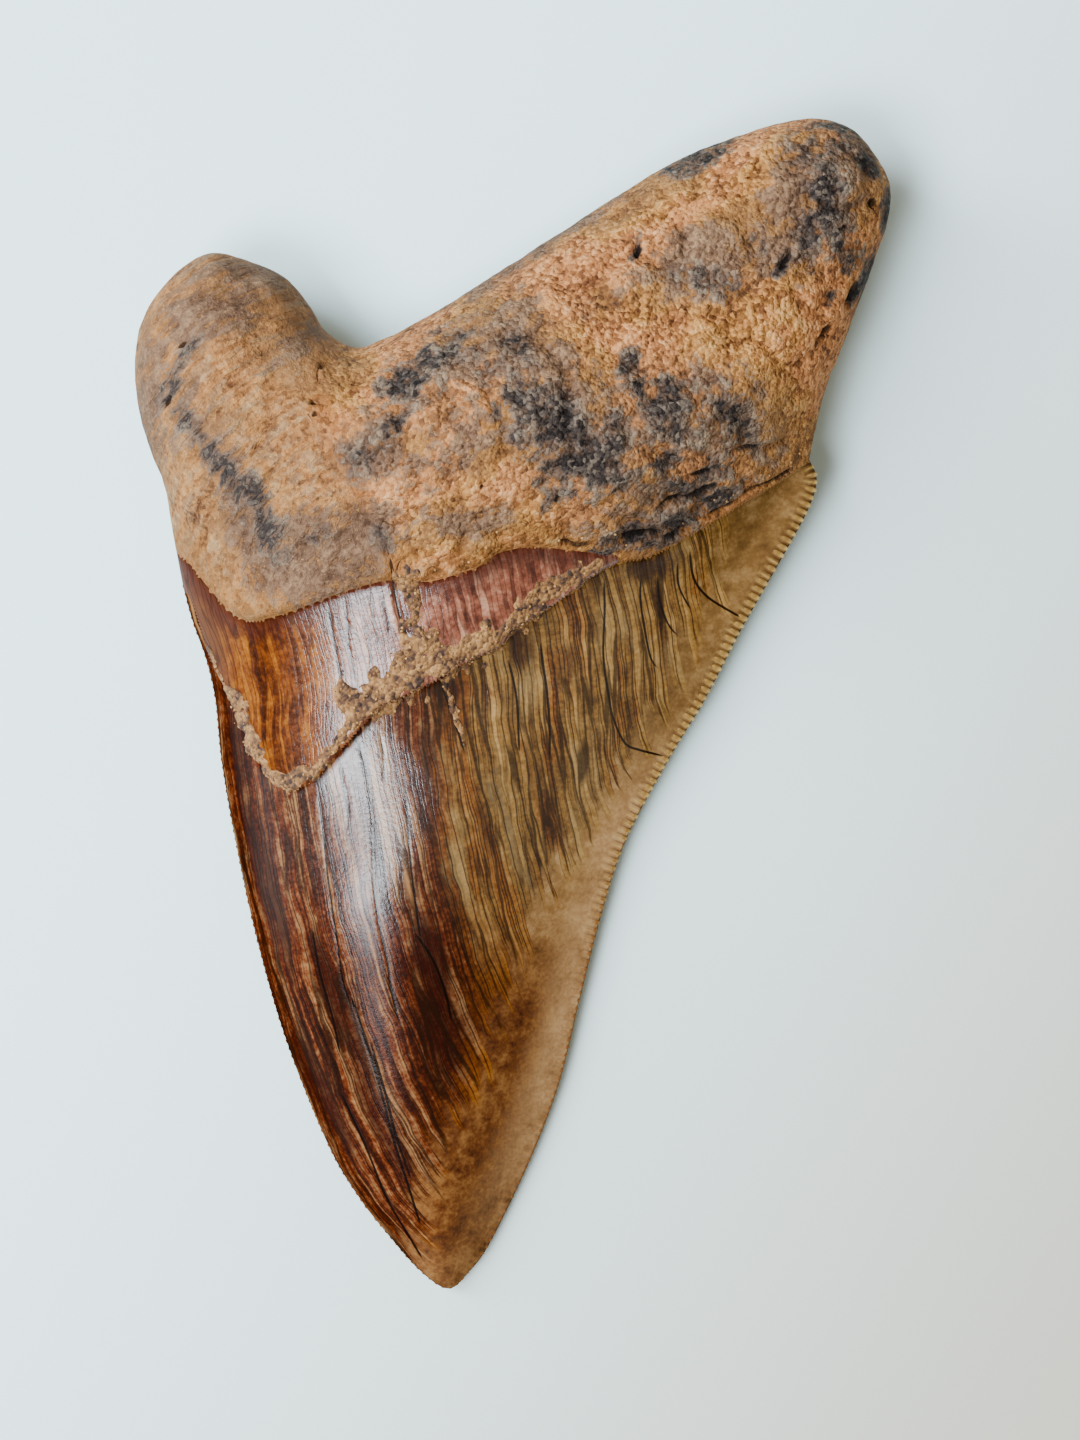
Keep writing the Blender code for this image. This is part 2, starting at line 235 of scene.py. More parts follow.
def along(y, stations):
    """A value read at y from (y, value) stations, eased between them."""
    ys, values = np.array(stations, float).T
    fine = np.linspace(ys[0], ys[-1], 241)
    reach = 8
    padded = np.pad(np.interp(fine, ys, values), reach, mode="edge")
    eased = np.convolve(padded, np.ones(2 * reach + 1) / (2 * reach + 1), mode="valid")
    return np.interp(y, fine, eased)


def spot(places, centre, radii):
    return np.exp(-(((places - centre) / radii) ** 2).sum(1))


def roll(depth):
    """0 at the outline and 1 past the roll radius, as a quarter circle."""
    return np.sqrt(1 - (1 - np.clip(depth / ROLL_RADIUS, 0, 1)) ** 2)


def inner_face(places, from_left, from_right, depth, past_lip, past_chevron):
    width = from_left + from_right + 1e-6
    share = from_left / width
    square, rise = LEFT_FLANK
    left_flank = (1 - (1 - np.clip(share / CREST_PLACE, 0, 1)) ** square) ** rise
    run = np.clip((1 - share) / (1 - CREST_PLACE), 0, 1)
    parabola, wave = RIGHT_FLANK
    right_flank = parabola * run * (2 - run) + wave * np.sin(run * math.pi / 2) ** 2
    section = np.where(share < CREST_PLACE, left_flank, right_flank)
    crown = CROWN_RISE * (width / FULL_WIDTH) ** CROWN_TAPER * section

    lumps = np.array([noise.noise(Vector((x / LUMP_SIZE, y / LUMP_SIZE, 3.0))) for x, y in places])
    bulge = BULGE_RISE * spot(places, BULGE_CENTRE, BULGE_RADII)
    root = (LOBE_RISE + bulge + LUMP_HEIGHT * lumps) * roll(depth)

    height = crown + (root - crown) * ease(past_lip, *CROWN_INTO_ROOT)
    inboard = ease(depth, *STEP_INBOARD)
    fade = ease(past_chevron, -STEP_FADE, 0)
    lip_step = LIP_STEP * (1 - ease(places[:, 0], *LIP_END))
    height -= lip_step * np.where(past_lip > 0, 0, fade) * inboard
    chevron_step = np.interp(places[:, 0], (-20, -3), CHEVRON_STEP)
    height -= chevron_step * np.where(past_chevron > 0, 0, fade) * inboard
    height -= HOLLOW_DEPTH * spot(places, HOLLOW_CENTRE, HOLLOW_RADII) * (past_chevron < 0)
    return along(places[:, 1], RIM_HEIGHT) + np.maximum(height, 0)


def outer_face(places, from_left, from_right, depth, past_lip, past_chevron):
    share = from_left / (from_left + from_right + 1e-6)
    section = (4 * share * (1 - share)) ** 0.75
    section += (roll(depth) - section) * ease(past_lip, *OUTER_INTO_ROOT)
    belly = along(places[:, 1], BELLY_HEIGHT)
    belly += OUTER_STEP * np.where(past_chevron > 0, 0, ease(past_chevron, -STEP_FADE, 0))
    for centre in PAD_CENTRES:
        belly -= PAD_DROP * spot(places, centre, PAD_RADIUS)
    rim = along(places[:, 1], RIM_HEIGHT)
    return np.maximum(rim + (belly - rim) * section, 0)


# Its cracks, each as (points, half width, depth). Drying split the enamel along its streaks, most
# of all over the crest; the root's split runs down from the notch, and its right edge is flaking.
ENAMEL_CRACKS = [
    ([(-18.6, 10.3), (-18.3, 7.8), (-17.9, 5.8), (-17.3, 1.7)], 0.14, 0.04),
    ([(-16.9, 11.4), (-16.7, 8.6), (-16.5, 5.8), (-15.9, 1.9)], 0.14, 0.04),
    ([(-15.1, 9.2), (-14.4, 5.8), (-14.4, 2.3)], 0.11, 0.03),
    ([(-14.1, 11.8), (-14.1, 9.2), (-13.3, 5.8)], 0.14, 0.04),
    ([(-12.9, 10.8), (-12.5, 8.4), (-12.3, 6.7)], 0.11, 0.03),
    ([(-17.6, -5.3), (-17.3, -7.6), (-16.9, -9.0), (-16.8, -12.0)], 0.16, 0.04),
    ([(-15.6, -3.7), (-14.8, -6.8), (-14.3, -10.9), (-14.1, -18.0), (-13.6, -22.2), (-12.8, -26.0),
      (-12.4, -29.1), (-11.6, -32.5)], 0.17, 0.05),
    ([(-13.6, -2.6), (-13.2, -4.5), (-13.0, -8.0)], 0.14, 0.04),
    ([(-19.9, -8.4), (-19.4, -12.3), (-18.9, -17.3), (-18.1, -23.0), (-17.4, -28.0),
      (-16.6, -30.7)], 0.14, 0.03),
    ([(-20.6, -22.6), (-19.9, -26.9), (-18.5, -32.2), (-17.8, -36.0)], 0.17, 0.04),
    ([(-16.6, -29.5), (-15.3, -33.7), (-13.6, -39.4), (-12.4, -44.4), (-10.9, -49.4),
      (-9.6, -54.0)], 0.17, 0.04),
    ([(-14.7, -34.1), (-13.2, -39.4), (-12.0, -44.4), (-10.5, -49.0)], 0.17, 0.04),
    ([(-17.8, -39.8), (-15.1, -45.9), (-13.2, -50.9), (-10.9, -55.1), (-9.4, -57.8)], 0.17, 0.06),
    ([(-10.1, -23.0), (-8.3, -25.7), (-7.0, -29.1), (-6.3, -32.5)], 0.17, 0.03),
    ([(-10.9, -9.0), (-10.4, -16.0), (-9.4, -24.0)], 0.15, 0.03),
    ([(9.2, 12.9), (9.3, 9.7), (9.2, 4.9), (9.8, 0.8), (10.3, -1.5), (11.5, -3.9), (13.0, -4.6),
      (15.8, -5.3)], 0.16, 0.04),
    ([(13.0, 13.2), (13.0, 10.8), (13.4, 8.1), (14.1, 4.9), (15.0, 3.7)], 0.15, 0.04),
    ([(14.7, 13.5), (15.0, 10.8), (15.9, 8.4), (17.1, 7.0)], 0.14, 0.03),
    ([(16.8, 14.9), (16.9, 12.6), (17.7, 10.8), (18.5, 9.7)], 0.14, 0.03),
    ([(18.0, 16.1), (18.5, 13.2), (19.8, 11.4), (21.8, 10.1), (24.0, 8.9)], 0.17, 0.04),
    ([(-0.6, 4.9), (0.3, 0.8), (0.6, -5.0)], 0.16, 0.04),
    ([(2.7, 6.6), (3.6, -0.6), (3.7, -5.7)], 0.17, 0.04),
    ([(-7.3, 2.0), (-6.2, -0.9), (-4.9, -5.0)], 0.17, 0.04),
]
ROOT_CRACKS = [
    ([(-12.9, 16.4), (-12.1, 14.0), (-11.7, 10.8), (-11.0, 7.8), (-10.2, 6.7)], 0.24, 0.35),
    ([(-19.2, 34.3), (-19.5, 32.8), (-19.2, 31.6)], 0.2, 0.3),
    ([(-20.6, 30.6), (-19.4, 29.9), (-18.6, 29.6)], 0.15, 0.2),
    ([(-10.7 + 0.85 * math.cos(t), 13.2 + 1.4 * math.sin(t)) for t in np.linspace(0, 6.1, 14)],
     0.12, 0.15),
    ([(10.6, 15.8), (11.8, 16.9), (13.6, 17.3), (15.6, 17.0), (16.8, 17.6), (18.5, 17.7)],
     0.55, 0.6),
    ([(14.1, 19.3), (15.9, 20.5), (17.7, 20.8), (19.8, 22.0), (20.6, 23.1)], 0.45, 0.55),
    ([(19.1, 18.9), (21.8, 20.3), (24.2, 21.9), (26.2, 22.7), (29.4, 24.8)], 0.3, 0.45),
    ([(16.8, 22.5), (18.8, 23.1), (20.1, 23.6)], 0.4, 0.5),
    ([(4.2, 16.4), (6.4, 16.0), (8.8, 16.7)], 0.4, 0.5),
    ([(21.0, 25.0), (23.4, 25.9), (25.2, 26.2)], 0.35, 0.4),
]
# Holes that blood vessels and worms left in the root: (x, y, half length, half width, turn, depth).
ROOT_PITS = [
    (-19.0, 33.7, 0.47, 0.26, 70, 0.64), (-19.8, 30.0, 0.42, 0.26, 0, 0.64),
    (-19.6, 28.8, 0.34, 0.23, 0, 0.56), (12.4, 45.5, 1.02, 0.33, 80, 0.56),
    (27.1, 44.2, 1.27, 0.39, 60, 0.64), (31.2, 37.3, 1.61, 0.39, 48, 0.64),
    (34.2, 41.4, 1.61, 0.39, 65, 0.64), (29.6, 50.2, 0.68, 0.26, 70, 0.48),
    (32.9, 47.8, 0.77, 0.26, 20, 0.48), (-3.0, 21.5, 0.30, 0.20, 0, 0.40),
    (-5.6, 29.3, 0.34, 0.20, 30, 0.40), (4.4, 20.4, 0.42, 0.23, 40, 0.40),
    (-33.0, 36.0, 0.59, 0.33, 50, 0.48), (-34.6, 30.4, 0.68, 0.33, 60, 0.48),
    (36.4, 50.6, 0.68, 0.33, 60, 0.56),
]
CRACK_END = 1.6  # how far from its ends a crack thins out
GRID_REACH = (41, 63)  # half the width and the length that a grid of points covers


def hex_grid(spacing):
    half_width, half_length = GRID_REACH
    rows = np.arange(-half_length, half_length, spacing * math.sqrt(0.75))
    columns = np.arange(-half_width, half_width, spacing)
    return np.array([(x + spacing / 2 * (i % 2), y) for i, y in enumerate(rows) for x in columns])


def inside(places, loop):
    """Which places lie inside a closed loop, by counting crossings to the right of each."""
    start, end = loop, np.roll(loop, -1, axis=0)
    rise = np.where(end[:, 1] == start[:, 1], 1e-9, end[:, 1] - start[:, 1])
    found = []
    for some in np.array_split(places, len(places) // AT_A_TIME + 1):
        x, y = some[:, :1], some[:, 1:]
        straddles = (start[:, 1] > y) != (end[:, 1] > y)
        crossing = start[:, 0] + (y - start[:, 1]) / rise * (end[:, 0] - start[:, 0])
        found.append((straddles & (x < crossing)).sum(1) % 2 == 1)
    return np.concatenate(found)


def clear_of(places, kept, gap):
    """The places that are more than gap from every kept one."""
    tree = KDTree(len(kept))
    for i, (x, y) in enumerate(kept):
        tree.insert((x, y, 0), i)
    tree.balance()
    return np.array([p for p in places if tree.find((p[0], p[1], 0))[2] > gap]).reshape(-1, 2)


# Its mesh. Rows of points follow the outline, the cracks, the lip and the chevron, a fine grid
# fills the rest, and both faces are joined at the rim.
RIM_DEPTH = 0.18
ROOT_ROWS = [0.4, 0.7, 1.1, 1.6]
CROWN_ROWS = [0.45, 0.8]
TOP_GRID = 0.36
UNDER_GRID = 0.75
GRID_CLEARANCE = 0.62  # of the grid's spacing, kept free round the rows

ring = np.vstack([
    crown_edge[:-1] + RIM_DEPTH * inward_from(crown_edge)[:-1],
    root_edge[:-1] + RIM_DEPTH * inward_from(root_edge)[:-1],
])
rim = outline[:-1]


def points_inside(rows, grid):
    """Points for one face: rows of (line, offset, gap to other points), then the grid."""
    kept = ring
    for line, offset, gap in rows:
        row = line + offset * inward_from(line)
        kept = np.vstack([kept, clear_of(row[inside(row, ring)], kept, gap)])
    places = hex_grid(grid)
    places = places[inside(places, ring)]
    return np.vstack([kept, clear_of(places, kept, GRID_CLEARANCE * grid)])[len(ring):]


crack_lines = [smooth_curve(points, 0.3) for points, _, _ in ENAMEL_CRACKS + ROOT_CRACKS]
top_rows = []
for line, (_, half_width, _) in zip(crack_lines, ENAMEL_CRACKS + ROOT_CRACKS):
    top_rows += [(line, 0, 0.12), (line, half_width, 0.09), (line, -half_width, 0.09)]
for points in (ROOT_LIP, CHEVRON):
    top_rows += [(smooth_curve(points, 0.36), offset, 0.15) for offset in (-0.1, 0.12)]
top_rows += [(root_edge, offset, 0.2) for offset in ROOT_ROWS]
top_rows += [(crown_edge, offset, 0.2) for offset in CROWN_ROWS]
under_rows = [(smooth_curve(OUTER_LIP, 0.6), offset, 0.2) for offset in (-0.15, 0.15)]
under_rows += [(root_edge, offset, 0.3) for offset in ROOT_ROWS]
under_rows += [(crown_edge, CROWN_ROWS[0], 0.3)]


def triangulated(inner):
    places = [Vector(p) for p in np.vstack([ring, inner])]
    loop = [(i, (i + 1) % len(ring)) for i in range(len(ring))]
    made, _, faces, _, _, _ = delaunay_2d_cdt(places, loop, [], 1, 1e-6)
    return np.array([tuple(p) for p in made]), np.array([tuple(f) for f in faces])


top, top_faces = triangulated(points_inside(top_rows, TOP_GRID))
under, under_faces = triangulated(points_inside(under_rows, UNDER_GRID))
inner_lines, outer_lines = (ROOT_LIP, CHEVRON), (OUTER_LIP, OUTER_LIP)
top_at, under_at = measured(top, inner_lines), measured(under, outer_lines)
rim_at = measured(rim, inner_lines)
plan = np.vstack([rim, top, under])
skin = np.column_stack([plan, np.concatenate([
    along(rim[:, 1], RIM_HEIGHT), inner_face(top, **top_at), outer_face(under, **under_at),
])])
where = {name: np.concatenate([rim_at[name], top_at[name], under_at[name]]) for name in top_at}
is_under = np.arange(len(plan)) >= len(rim) + len(top)

around = np.arange(len(rim))
next_round = (around + 1) % len(rim)
first_top, first_under = len(rim), len(rim) + len(top)
faces = np.vstack([
    top_faces + first_top,
    under_faces[:, ::-1] + first_under,
    np.column_stack([around, next_round, first_top + next_round]),
    np.column_stack([around, first_top + next_round, first_top + around]),
    np.column_stack([next_round, around, first_under + next_round]),
    np.column_stack([first_under + next_round, around, first_under + around]),
])
tooth_mesh = bpy.data.meshes.new("tooth_surface")
tooth_mesh.from_pydata(((skin - ORIGIN) * MM).tolist(), [], faces.tolist())
tooth_mesh.update()

# Its worn relief. The root is lumpy and pitted on the long lobe and finely ribbed round the short
# one; flakes stand up along the ledge; the enamel is smooth but for its cracks.
LOBE_SPLIT = [  # (y, x) along the seam between the lobes
    (38.0, -19.0), (31.0, -19.3), (26.0, -17.8), (20.5, -15.1), (14.0, -12.1), (5.0, -10.5),
]
SHORT_LOBE_CENTRE = (-9.6, 7.9)  # its fibres run in circles round this
ROUND_RADIUS = 25  # and their length is measured at this distance from it
LONG_LOBE_TURN = math.radians(37)  # the long lobe's fibres run this way
LOBES_APART = (80, 0)  # keeps one lobe's fibres from repeating the other's
CREASE_SIZE = 6.0
CREASE_HEIGHT = 2.0
CREASE_CUT = 0.22  # the land between creases is flat above this
LONG_RELIEF = [(3.4, 0.36), (1.5, 0.22), (0.75, 0.24)]  # (size, height)
SHORT_RELIEF = [(4.0, 0.40), (1.3, 0.20)]
RIB_SIZE = (0.60, 6.0)
RIB_HEIGHT = 0.26
LOBE_BLEND = 2.4
LEDGE_REACH = 7.0
LEDGE_RISE = (7, 13)  # where it begins, from left to right
FLAKE_SIZE = (0.9, 4.5)
FLAKE_HEIGHT = 0.45

split = np.array(sorted(LOBE_SPLIT))
left_of_split = np.interp(plan[:, 1], split[:, 0], split[:, 1]) - plan[:, 0]
short_lobe = ease(left_of_split, -LOBE_BLEND, LOBE_BLEND)
seam = 4 * short_lobe * (1 - short_lobe)
from_centre = plan - SHORT_LOBE_CENTRE
round_centre = np.column_stack([
    np.hypot(*from_centre.T), ROUND_RADIUS * np.arctan2(from_centre[:, 1], -from_centre[:, 0])
])
turned = plan @ np.array([
    [-math.sin(LONG_LOBE_TURN), math.cos(LONG_LOBE_TURN)],
    [math.cos(LONG_LOBE_TURN), math.sin(LONG_LOBE_TURN)],
])
fibre = np.where(short_lobe[:, None] > 0.5, round_centre, turned + LOBES_APART)

on_root = ease(where["past_lip"], -0.1, 0.5) * np.where(where["past_chevron"] > 0, 1, 0)
ledge = ease(plan[:, 0], *LEDGE_RISE) * ease(where["past_lip"], LEDGE_REACH, 1.0)
ledge *= on_root * ~is_under
relief = np.zeros(len(plan))
for i in np.nonzero(on_root > 0)[0]:
    spot_place, short = Vector(skin[i]), short_lobe[i]
    crease = abs(noise.noise(spot_place / CREASE_SIZE + Vector((3.1, 0.4, 7.0))))
    relief[i] += (1 - 0.6 * short) * CREASE_HEIGHT * (min(crease, CREASE_CUT) - CREASE_CUT / 2)
    for size, height in LONG_RELIEF:
        relief[i] += (1 - short) * height * noise.noise(spot_place / size)
    for size, height in SHORT_RELIEF:
        relief[i] += short * height * noise.noise(spot_place / size)
    across, lengthwise = fibre[i]
    relief[i] += (1 - seam[i]) * (0.4 + 0.6 * short) * RIB_HEIGHT * noise.noise(
        Vector((across / RIB_SIZE[0], lengthwise / RIB_SIZE[1], 1.0)))
    if ledge[i] > 0:
        flake_place = Vector((where["past_lip"][i] / FLAKE_SIZE[0], plan[i, 0] / FLAKE_SIZE[1], 5))
        relief[i] += ledge[i] * FLAKE_HEIGHT * noise.noise(flake_place)
relief *= on_root * (0.2 + 0.8 * ease(where["depth"], 0.1, 3.5))

dark_line = np.zeros(len(plan))
for line, (_, half_width, depth) in zip(crack_lines, ENAMEL_CRACKS + ROOT_CRACKS):
    near = (np.abs(plan - line.mean(0)) < np.ptp(line, axis=0) / 2 + 2).all(1) & ~is_under
    apart, run = nearest_on(plan[near], line)
    total = np.hypot(*np.diff(line, axis=0).T).sum()
    taper = ease(np.minimum(run, total - run), -0.3, min(CRACK_END, total / 3))
    strength = np.clip(1 - apart / half_width, 0, 1) * taper
    dark_line[near] = np.maximum(dark_line[near], strength)
    relief[near] -= depth * strength


def in_ellipse(places, x, y, half_length, half_width, turn):
    """1 in an ellipse's middle, 0 on its line and negative outside."""
    c, s = math.cos(math.radians(turn)), math.sin(math.radians(turn))
    dx, dy = places[:, 0] - x, places[:, 1] - y
    return 1 - np.hypot((dx * c + dy * s) / half_length, (dy * c - dx * s) / half_width)


for *ellipse, depth in ROOT_PITS:
    hole = ease(in_ellipse(plan, *ellipse), -0.25, 0.5) * ~is_under
    dark_line = np.maximum(dark_line, hole)
    relief -= depth * hole

normals = np.array([v.normal for v in tooth_mesh.vertices])
skin += normals * relief[:, None]
skin[:, 2] = np.maximum(skin[:, 2], 0)
tooth_mesh.vertices.foreach_set("co", ((skin - ORIGIN) * MM).ravel())
tooth_mesh.update()

# Its colouring's guides, kept on the skin's points. "streak" holds how far across the growth
# streaks a place is, how far along them, and how far it is from the smooth margin: the streaks
# run down the crown beside its left edge and bend out to the right one. All are in millimetres.
BEND_REACH = 7.0
BEND = 0.9
MARGIN = [
    (-61, 5.0), (-57, 5.5), (-48, 8.8), (-40, 8.4), (-29, 7.3), (-21, 6.3), (-15, 4.6), (-6, 3.0),
    (2, 3.2), (10, 4.0), (17, 6.5), (24, 10.0),
]
SERRATION_PITCH = 0.84
LONG_LOBE_STRETCH = 0.5  # a fibre's length is drawn out by this much
SHORTER_BY = 0.17
LOOSE_BAND = (0.6, 0.9)  # its middle and its reach, past the lip
LOOSE_FROM = (-12, -8)
LOOSENESS = 0.65

bend = np.clip(where["from_right"] / BEND_REACH, 0, 1)
across_streaks = where["from_left"] + BEND * BEND_REACH * (1 - (1 - bend) ** 3) / 3
past_margin = where["from_right"] - along(plan[:, 1], MARGIN)
streak = np.column_stack([across_streaks, plan[:, 1], past_margin])
crown_length = np.hypot(*np.diff(crown_edge, axis=0).T).sum()
serration_count = round(crown_length / SERRATION_PITCH)
turns = nearest_on(plan, crown_edge)[1] / crown_length * serration_count
serration = np.column_stack([turns, where["depth"], 0 * where["depth"]])

# Where minerals stained it, as (x, y, half length, half width, turn in degrees, strength):
# manganese black and grey clay on the root, iron red in the crown's enamel. The red ones just
# under the chevron, such as (0.8, 6.0) and (-7.0, 1.5), are painted shade from its ledge instead.
BLACK_STAINS = [
    (2.4, 29.0, 5.2, 3.2, -52, 0.95), (6.2, 25.2, 6.0, 4.2, -22, 1.0),
    (9.6, 26.0, 3.6, 2.0, 78, 1.0), (0.6, 33.6, 4.9, 2.6, -75, 0.6),
    (-9.4, 32.9, 4.0, 1.9, 36, 1.0), (-6.4, 35.2, 3.6, 2.0, 20, 0.75),
    (-2.6, 34.0, 2.7, 1.6, 0, 0.5), (-7.0, 30.8, 1.5, 1.0, 30, 0.5),
    (-14.6, 24.8, 2.9, 2.0, 48, 0.6), (-11.6, 27.2, 2.9, 1.1, 52, 0.95),
    (3.8, 20.6, 2.0, 0.6, 60, 0.8), (-2.2, 21.2, 1.0, 0.5, 70, 0.7),
    (-24.0, 17.2, 3.1, 1.8, -72, 0.95), (-25.8, 20.9, 2.7, 1.2, -70, 0.8),
    (-29.4, 24.4, 5.2, 1.3, -58, 0.8), (-33.0, 28.8, 2.2, 1.2, -40, 0.75),
    (-34.6, 31.2, 2.1, 1.2, 60, 0.8), (-32.9, 34.6, 2.7, 0.8, 52, 0.75),
    (-27.4, 20.6, 3.6, 1.0, -70, 0.6), (-13.0, 16.2, 2.0, 1.1, -50, 0.6),
    (-19.0, 17.0, 2.7, 1.2, 10, 0.4), (18.4, 55.8, 4.2, 2.0, 27, 1.0),
    (30.8, 50.0, 5.0, 2.5, 72, 1.0), (31.4, 56.6, 4.4, 2.2, 38, 0.8),
    (33.0, 46.2, 3.2, 1.8, -35, 0.9), (35.7, 54.4, 1.5, 1.1, -60, 0.95),
    (38.0, 50.4, 2.2, 0.8, 80, 0.95), (35.6, 43.2, 3.1, 0.8, 68, 0.9),
    (32.0, 41.0, 1.0, 0.6, 60, 0.8), (24.0, 46.0, 1.6, 1.0, -40, 0.5),
    (19.6, 42.2, 3.4, 1.7, -15, 0.9), (12.2, 32.4, 2.7, 1.6, -78, 0.85),
    (16.0, 29.2, 3.2, 2.9, -40, 0.95), (22.0, 28.4, 3.8, 2.2, -60, 0.7),
    (14.2, 24.0, 4.7, 2.3, 10, 0.7), (18.5, 22.5, 5.6, 1.8, 28, 0.6),
    (14.0, 17.4, 5.0, 1.6, 20, 1.0), (20.2, 20.6, 4.0, 1.0, 32, 0.9),
    (9.4, 15.9, 2.2, 1.0, 25, 0.95), (12.3, 45.6, 1.6, 0.7, 75, 0.7),
    (27.0, 44.1, 1.6, 0.7, 60, 0.8),
]
# The grey ones at (2.0, 46.5) and (10.5, 41.0) are painted shade along the long lobe's upper-left
# border, which faces away from the light; the others are grey clay.
GREY_STAINS_AND_EDGE_SHADE = [
    (-7.0, 26.0, 6.5, 4.5, 20, 0.55), (-29.0, 41.0, 7.5, 4.0, 30, 0.8),
    (-22.0, 36.0, 5.0, 2.2, 35, 0.55), (-15.5, 17.0, 4.5, 3.0, 10, 0.9),
    (-35.5, 30.0, 6.0, 2.6, -75, 0.6), (1.4, 33.6, 8.0, 4.4, -62, 1.0),
    (19.8, 44.2, 5.6, 3.8, 20, 1.0), (10.5, 41.0, 5.5, 1.6, 30, 0.4),
    (30.5, 51.5, 8.0, 4.6, 68, 1.0), (19.0, 28.0, 8.0, 5.4, -10, 0.8),
    (6.4, 27.0, 9.0, 6.0, -30, 1.0), (-20.5, 14.8, 7.0, 4.2, -10, 1.0),
    (2.0, 46.5, 11.0, 1.5, 31, 0.9), (-6.0, 34.4, 7.0, 3.0, 22, 0.95),
    (-26.5, 19.0, 5.0, 2.6, -70, 0.9), (-37.0, 30.0, 8.0, 2.0, 85, 0.8),
    (-13.6, 25.4, 3.8, 3.2, 48, 0.95), (-29.5, 25.5, 7.5, 2.0, -58, 0.8),
    (-5.0, 18.5, 5.0, 2.0, 5, 0.5), (14.0, 20.5, 8.0, 2.6, 22, 0.7),
    (-7.6, 30.4, 2.4, 1.6, 30, 0.7), (29.5, 45.5, 3.5, 2.0, 30, 0.7),
]
RED_STAINS_AND_CHEVRON_SHADE = [
    (-8.4, -26.0, 5.0, 2.0, -76, 1.0), (-7.5, -33.0, 6.0, 2.8, -70, 0.9),
    (-17.5, -31.0, 10.0, 1.8, -68, 0.8), (-25.5, -18.0, 13.0, 2.0, -77, 0.75),
    (-20.0, -40.0, 9.0, 1.8, -64, 0.8), (-13.5, -43.0, 10.0, 1.6, -66, 0.7),
    (0.8, 6.0, 3.2, 1.5, -80, 0.9), (-0.2, 0.0, 4.0, 1.2, -86, 0.6),
    (8.2, 12.4, 2.6, 1.0, -80, 0.7), (13.8, 14.0, 3.0, 1.6, 15, 0.95),
    (-8.5, -8.0, 7.0, 1.6, -84, 0.7), (-3.0, -9.0, 6.0, 1.2, -86, 0.6),
    (2.0, -6.0, 5.0, 1.2, -86, 0.55), (-7.0, 1.5, 2.6, 1.8, -60, 0.8),
    (5.6, 4.4, 3.0, 1.3, -70, 0.6), (-24.0, 7.2, 5.5, 1.1, 8, 0.9), (27.0, 19.6, 1.2, 0.8, 20, 0.5),
    (-28.5, -4.0, 8.0, 1.2, -80, 0.7),
]
# The crown is red-brown on the left of this line, as (y, x), and tan on its right.
RED_SIDE = [
    (-61, -10.5), (-52, -9.3), (-45, -7.8), (-35, -3.8), (-25, -3.8), (-15, -6.8), (0, -7.5),
    (20, -7.5),
]
RED_BLEND = (-5.5, 4.5)
TIP_TINT = (16, 32)  # from where to where below the middle the tip's orange comes in


def stained(stains):
    total = np.zeros(len(plan))
    for *ellipse, strength in stains:
        total = np.maximum(total, strength * np.clip(0.5 + in_ellipse(plan, *ellipse), 0, 1))
    return total * np.where(is_under, 0.5, 1.0)


red_side = ease(along(plan[:, 1], RED_SIDE) - plan[:, 0], *RED_BLEND)
towards_tip = ease(-plan[:, 1], *TIP_TINT)
enamel_tint = np.column_stack([red_side, towards_tip, stained(RED_STAINS_AND_CHEVRON_SHADE)])
root_tint = np.column_stack([stained(BLACK_STAINS), stained(GREY_STAINS_AND_EDGE_SHADE), short_lobe])
zone = np.column_stack([where["past_lip"], where["past_chevron"], relief])
lengthwise = fibre[:, 1] * (LONG_LOBE_STRETCH - SHORTER_BY * short_lobe)
fibre_scaled = np.column_stack([fibre[:, 0], lengthwise, short_lobe])
# Grains come loose in a narrow band past the lip, to the right of the short lobe.
above_lip = np.column_stack([where["past_lip"], 0 * relief])
lip_band = spot(above_lip, (LOOSE_BAND[0], 0), (LOOSE_BAND[1], 1)) * on_root
ragged_lip = lip_band * ease(plan[:, 0], *LOOSE_FROM)
crumbly = LOOSENESS * ragged_lip * (1 - root_tint[:, 0]) * ~is_under


def keep_on_points(mesh, name, values):
    """Keeps a number or a vector for each point of a mesh."""
    kind, field = ("FLOAT", "value") if values.ndim == 1 else ("FLOAT_VECTOR", "vector")
    mesh.attributes.new(name, kind, "POINT").data.foreach_set(field, values.ravel())


# "serration" counts them along the edge, and gives the distance from it. "enamel_tint" is how red,
# how near the tip, and how much its stains and the painted shade under the chevron darken it;
# "root_tint" how black, how grey, and how far on the short lobe; and "zone" how far past the lip
# and the chevron, and how high its relief.
for name, values in (
    ("streak", streak), ("serration", serration), ("enamel_tint", enamel_tint),
    ("root_tint", root_tint), ("zone", zone), ("fibre", fibre_scaled),
    ("dark_line", dark_line), ("crumbly", crumbly),
):
    keep_on_points(tooth_mesh, name, values)


def linear(colour):
    """A hex sRGB colour as the linear values that Blender's sockets take."""
    parts = [int(colour[i:i + 2], 16) / 255 for i in (1, 3, 5)]
    return [p / 12.92 if p <= 0.04045 else ((p + 0.055) / 1.055) ** 2.4 for p in parts] + [1.0]


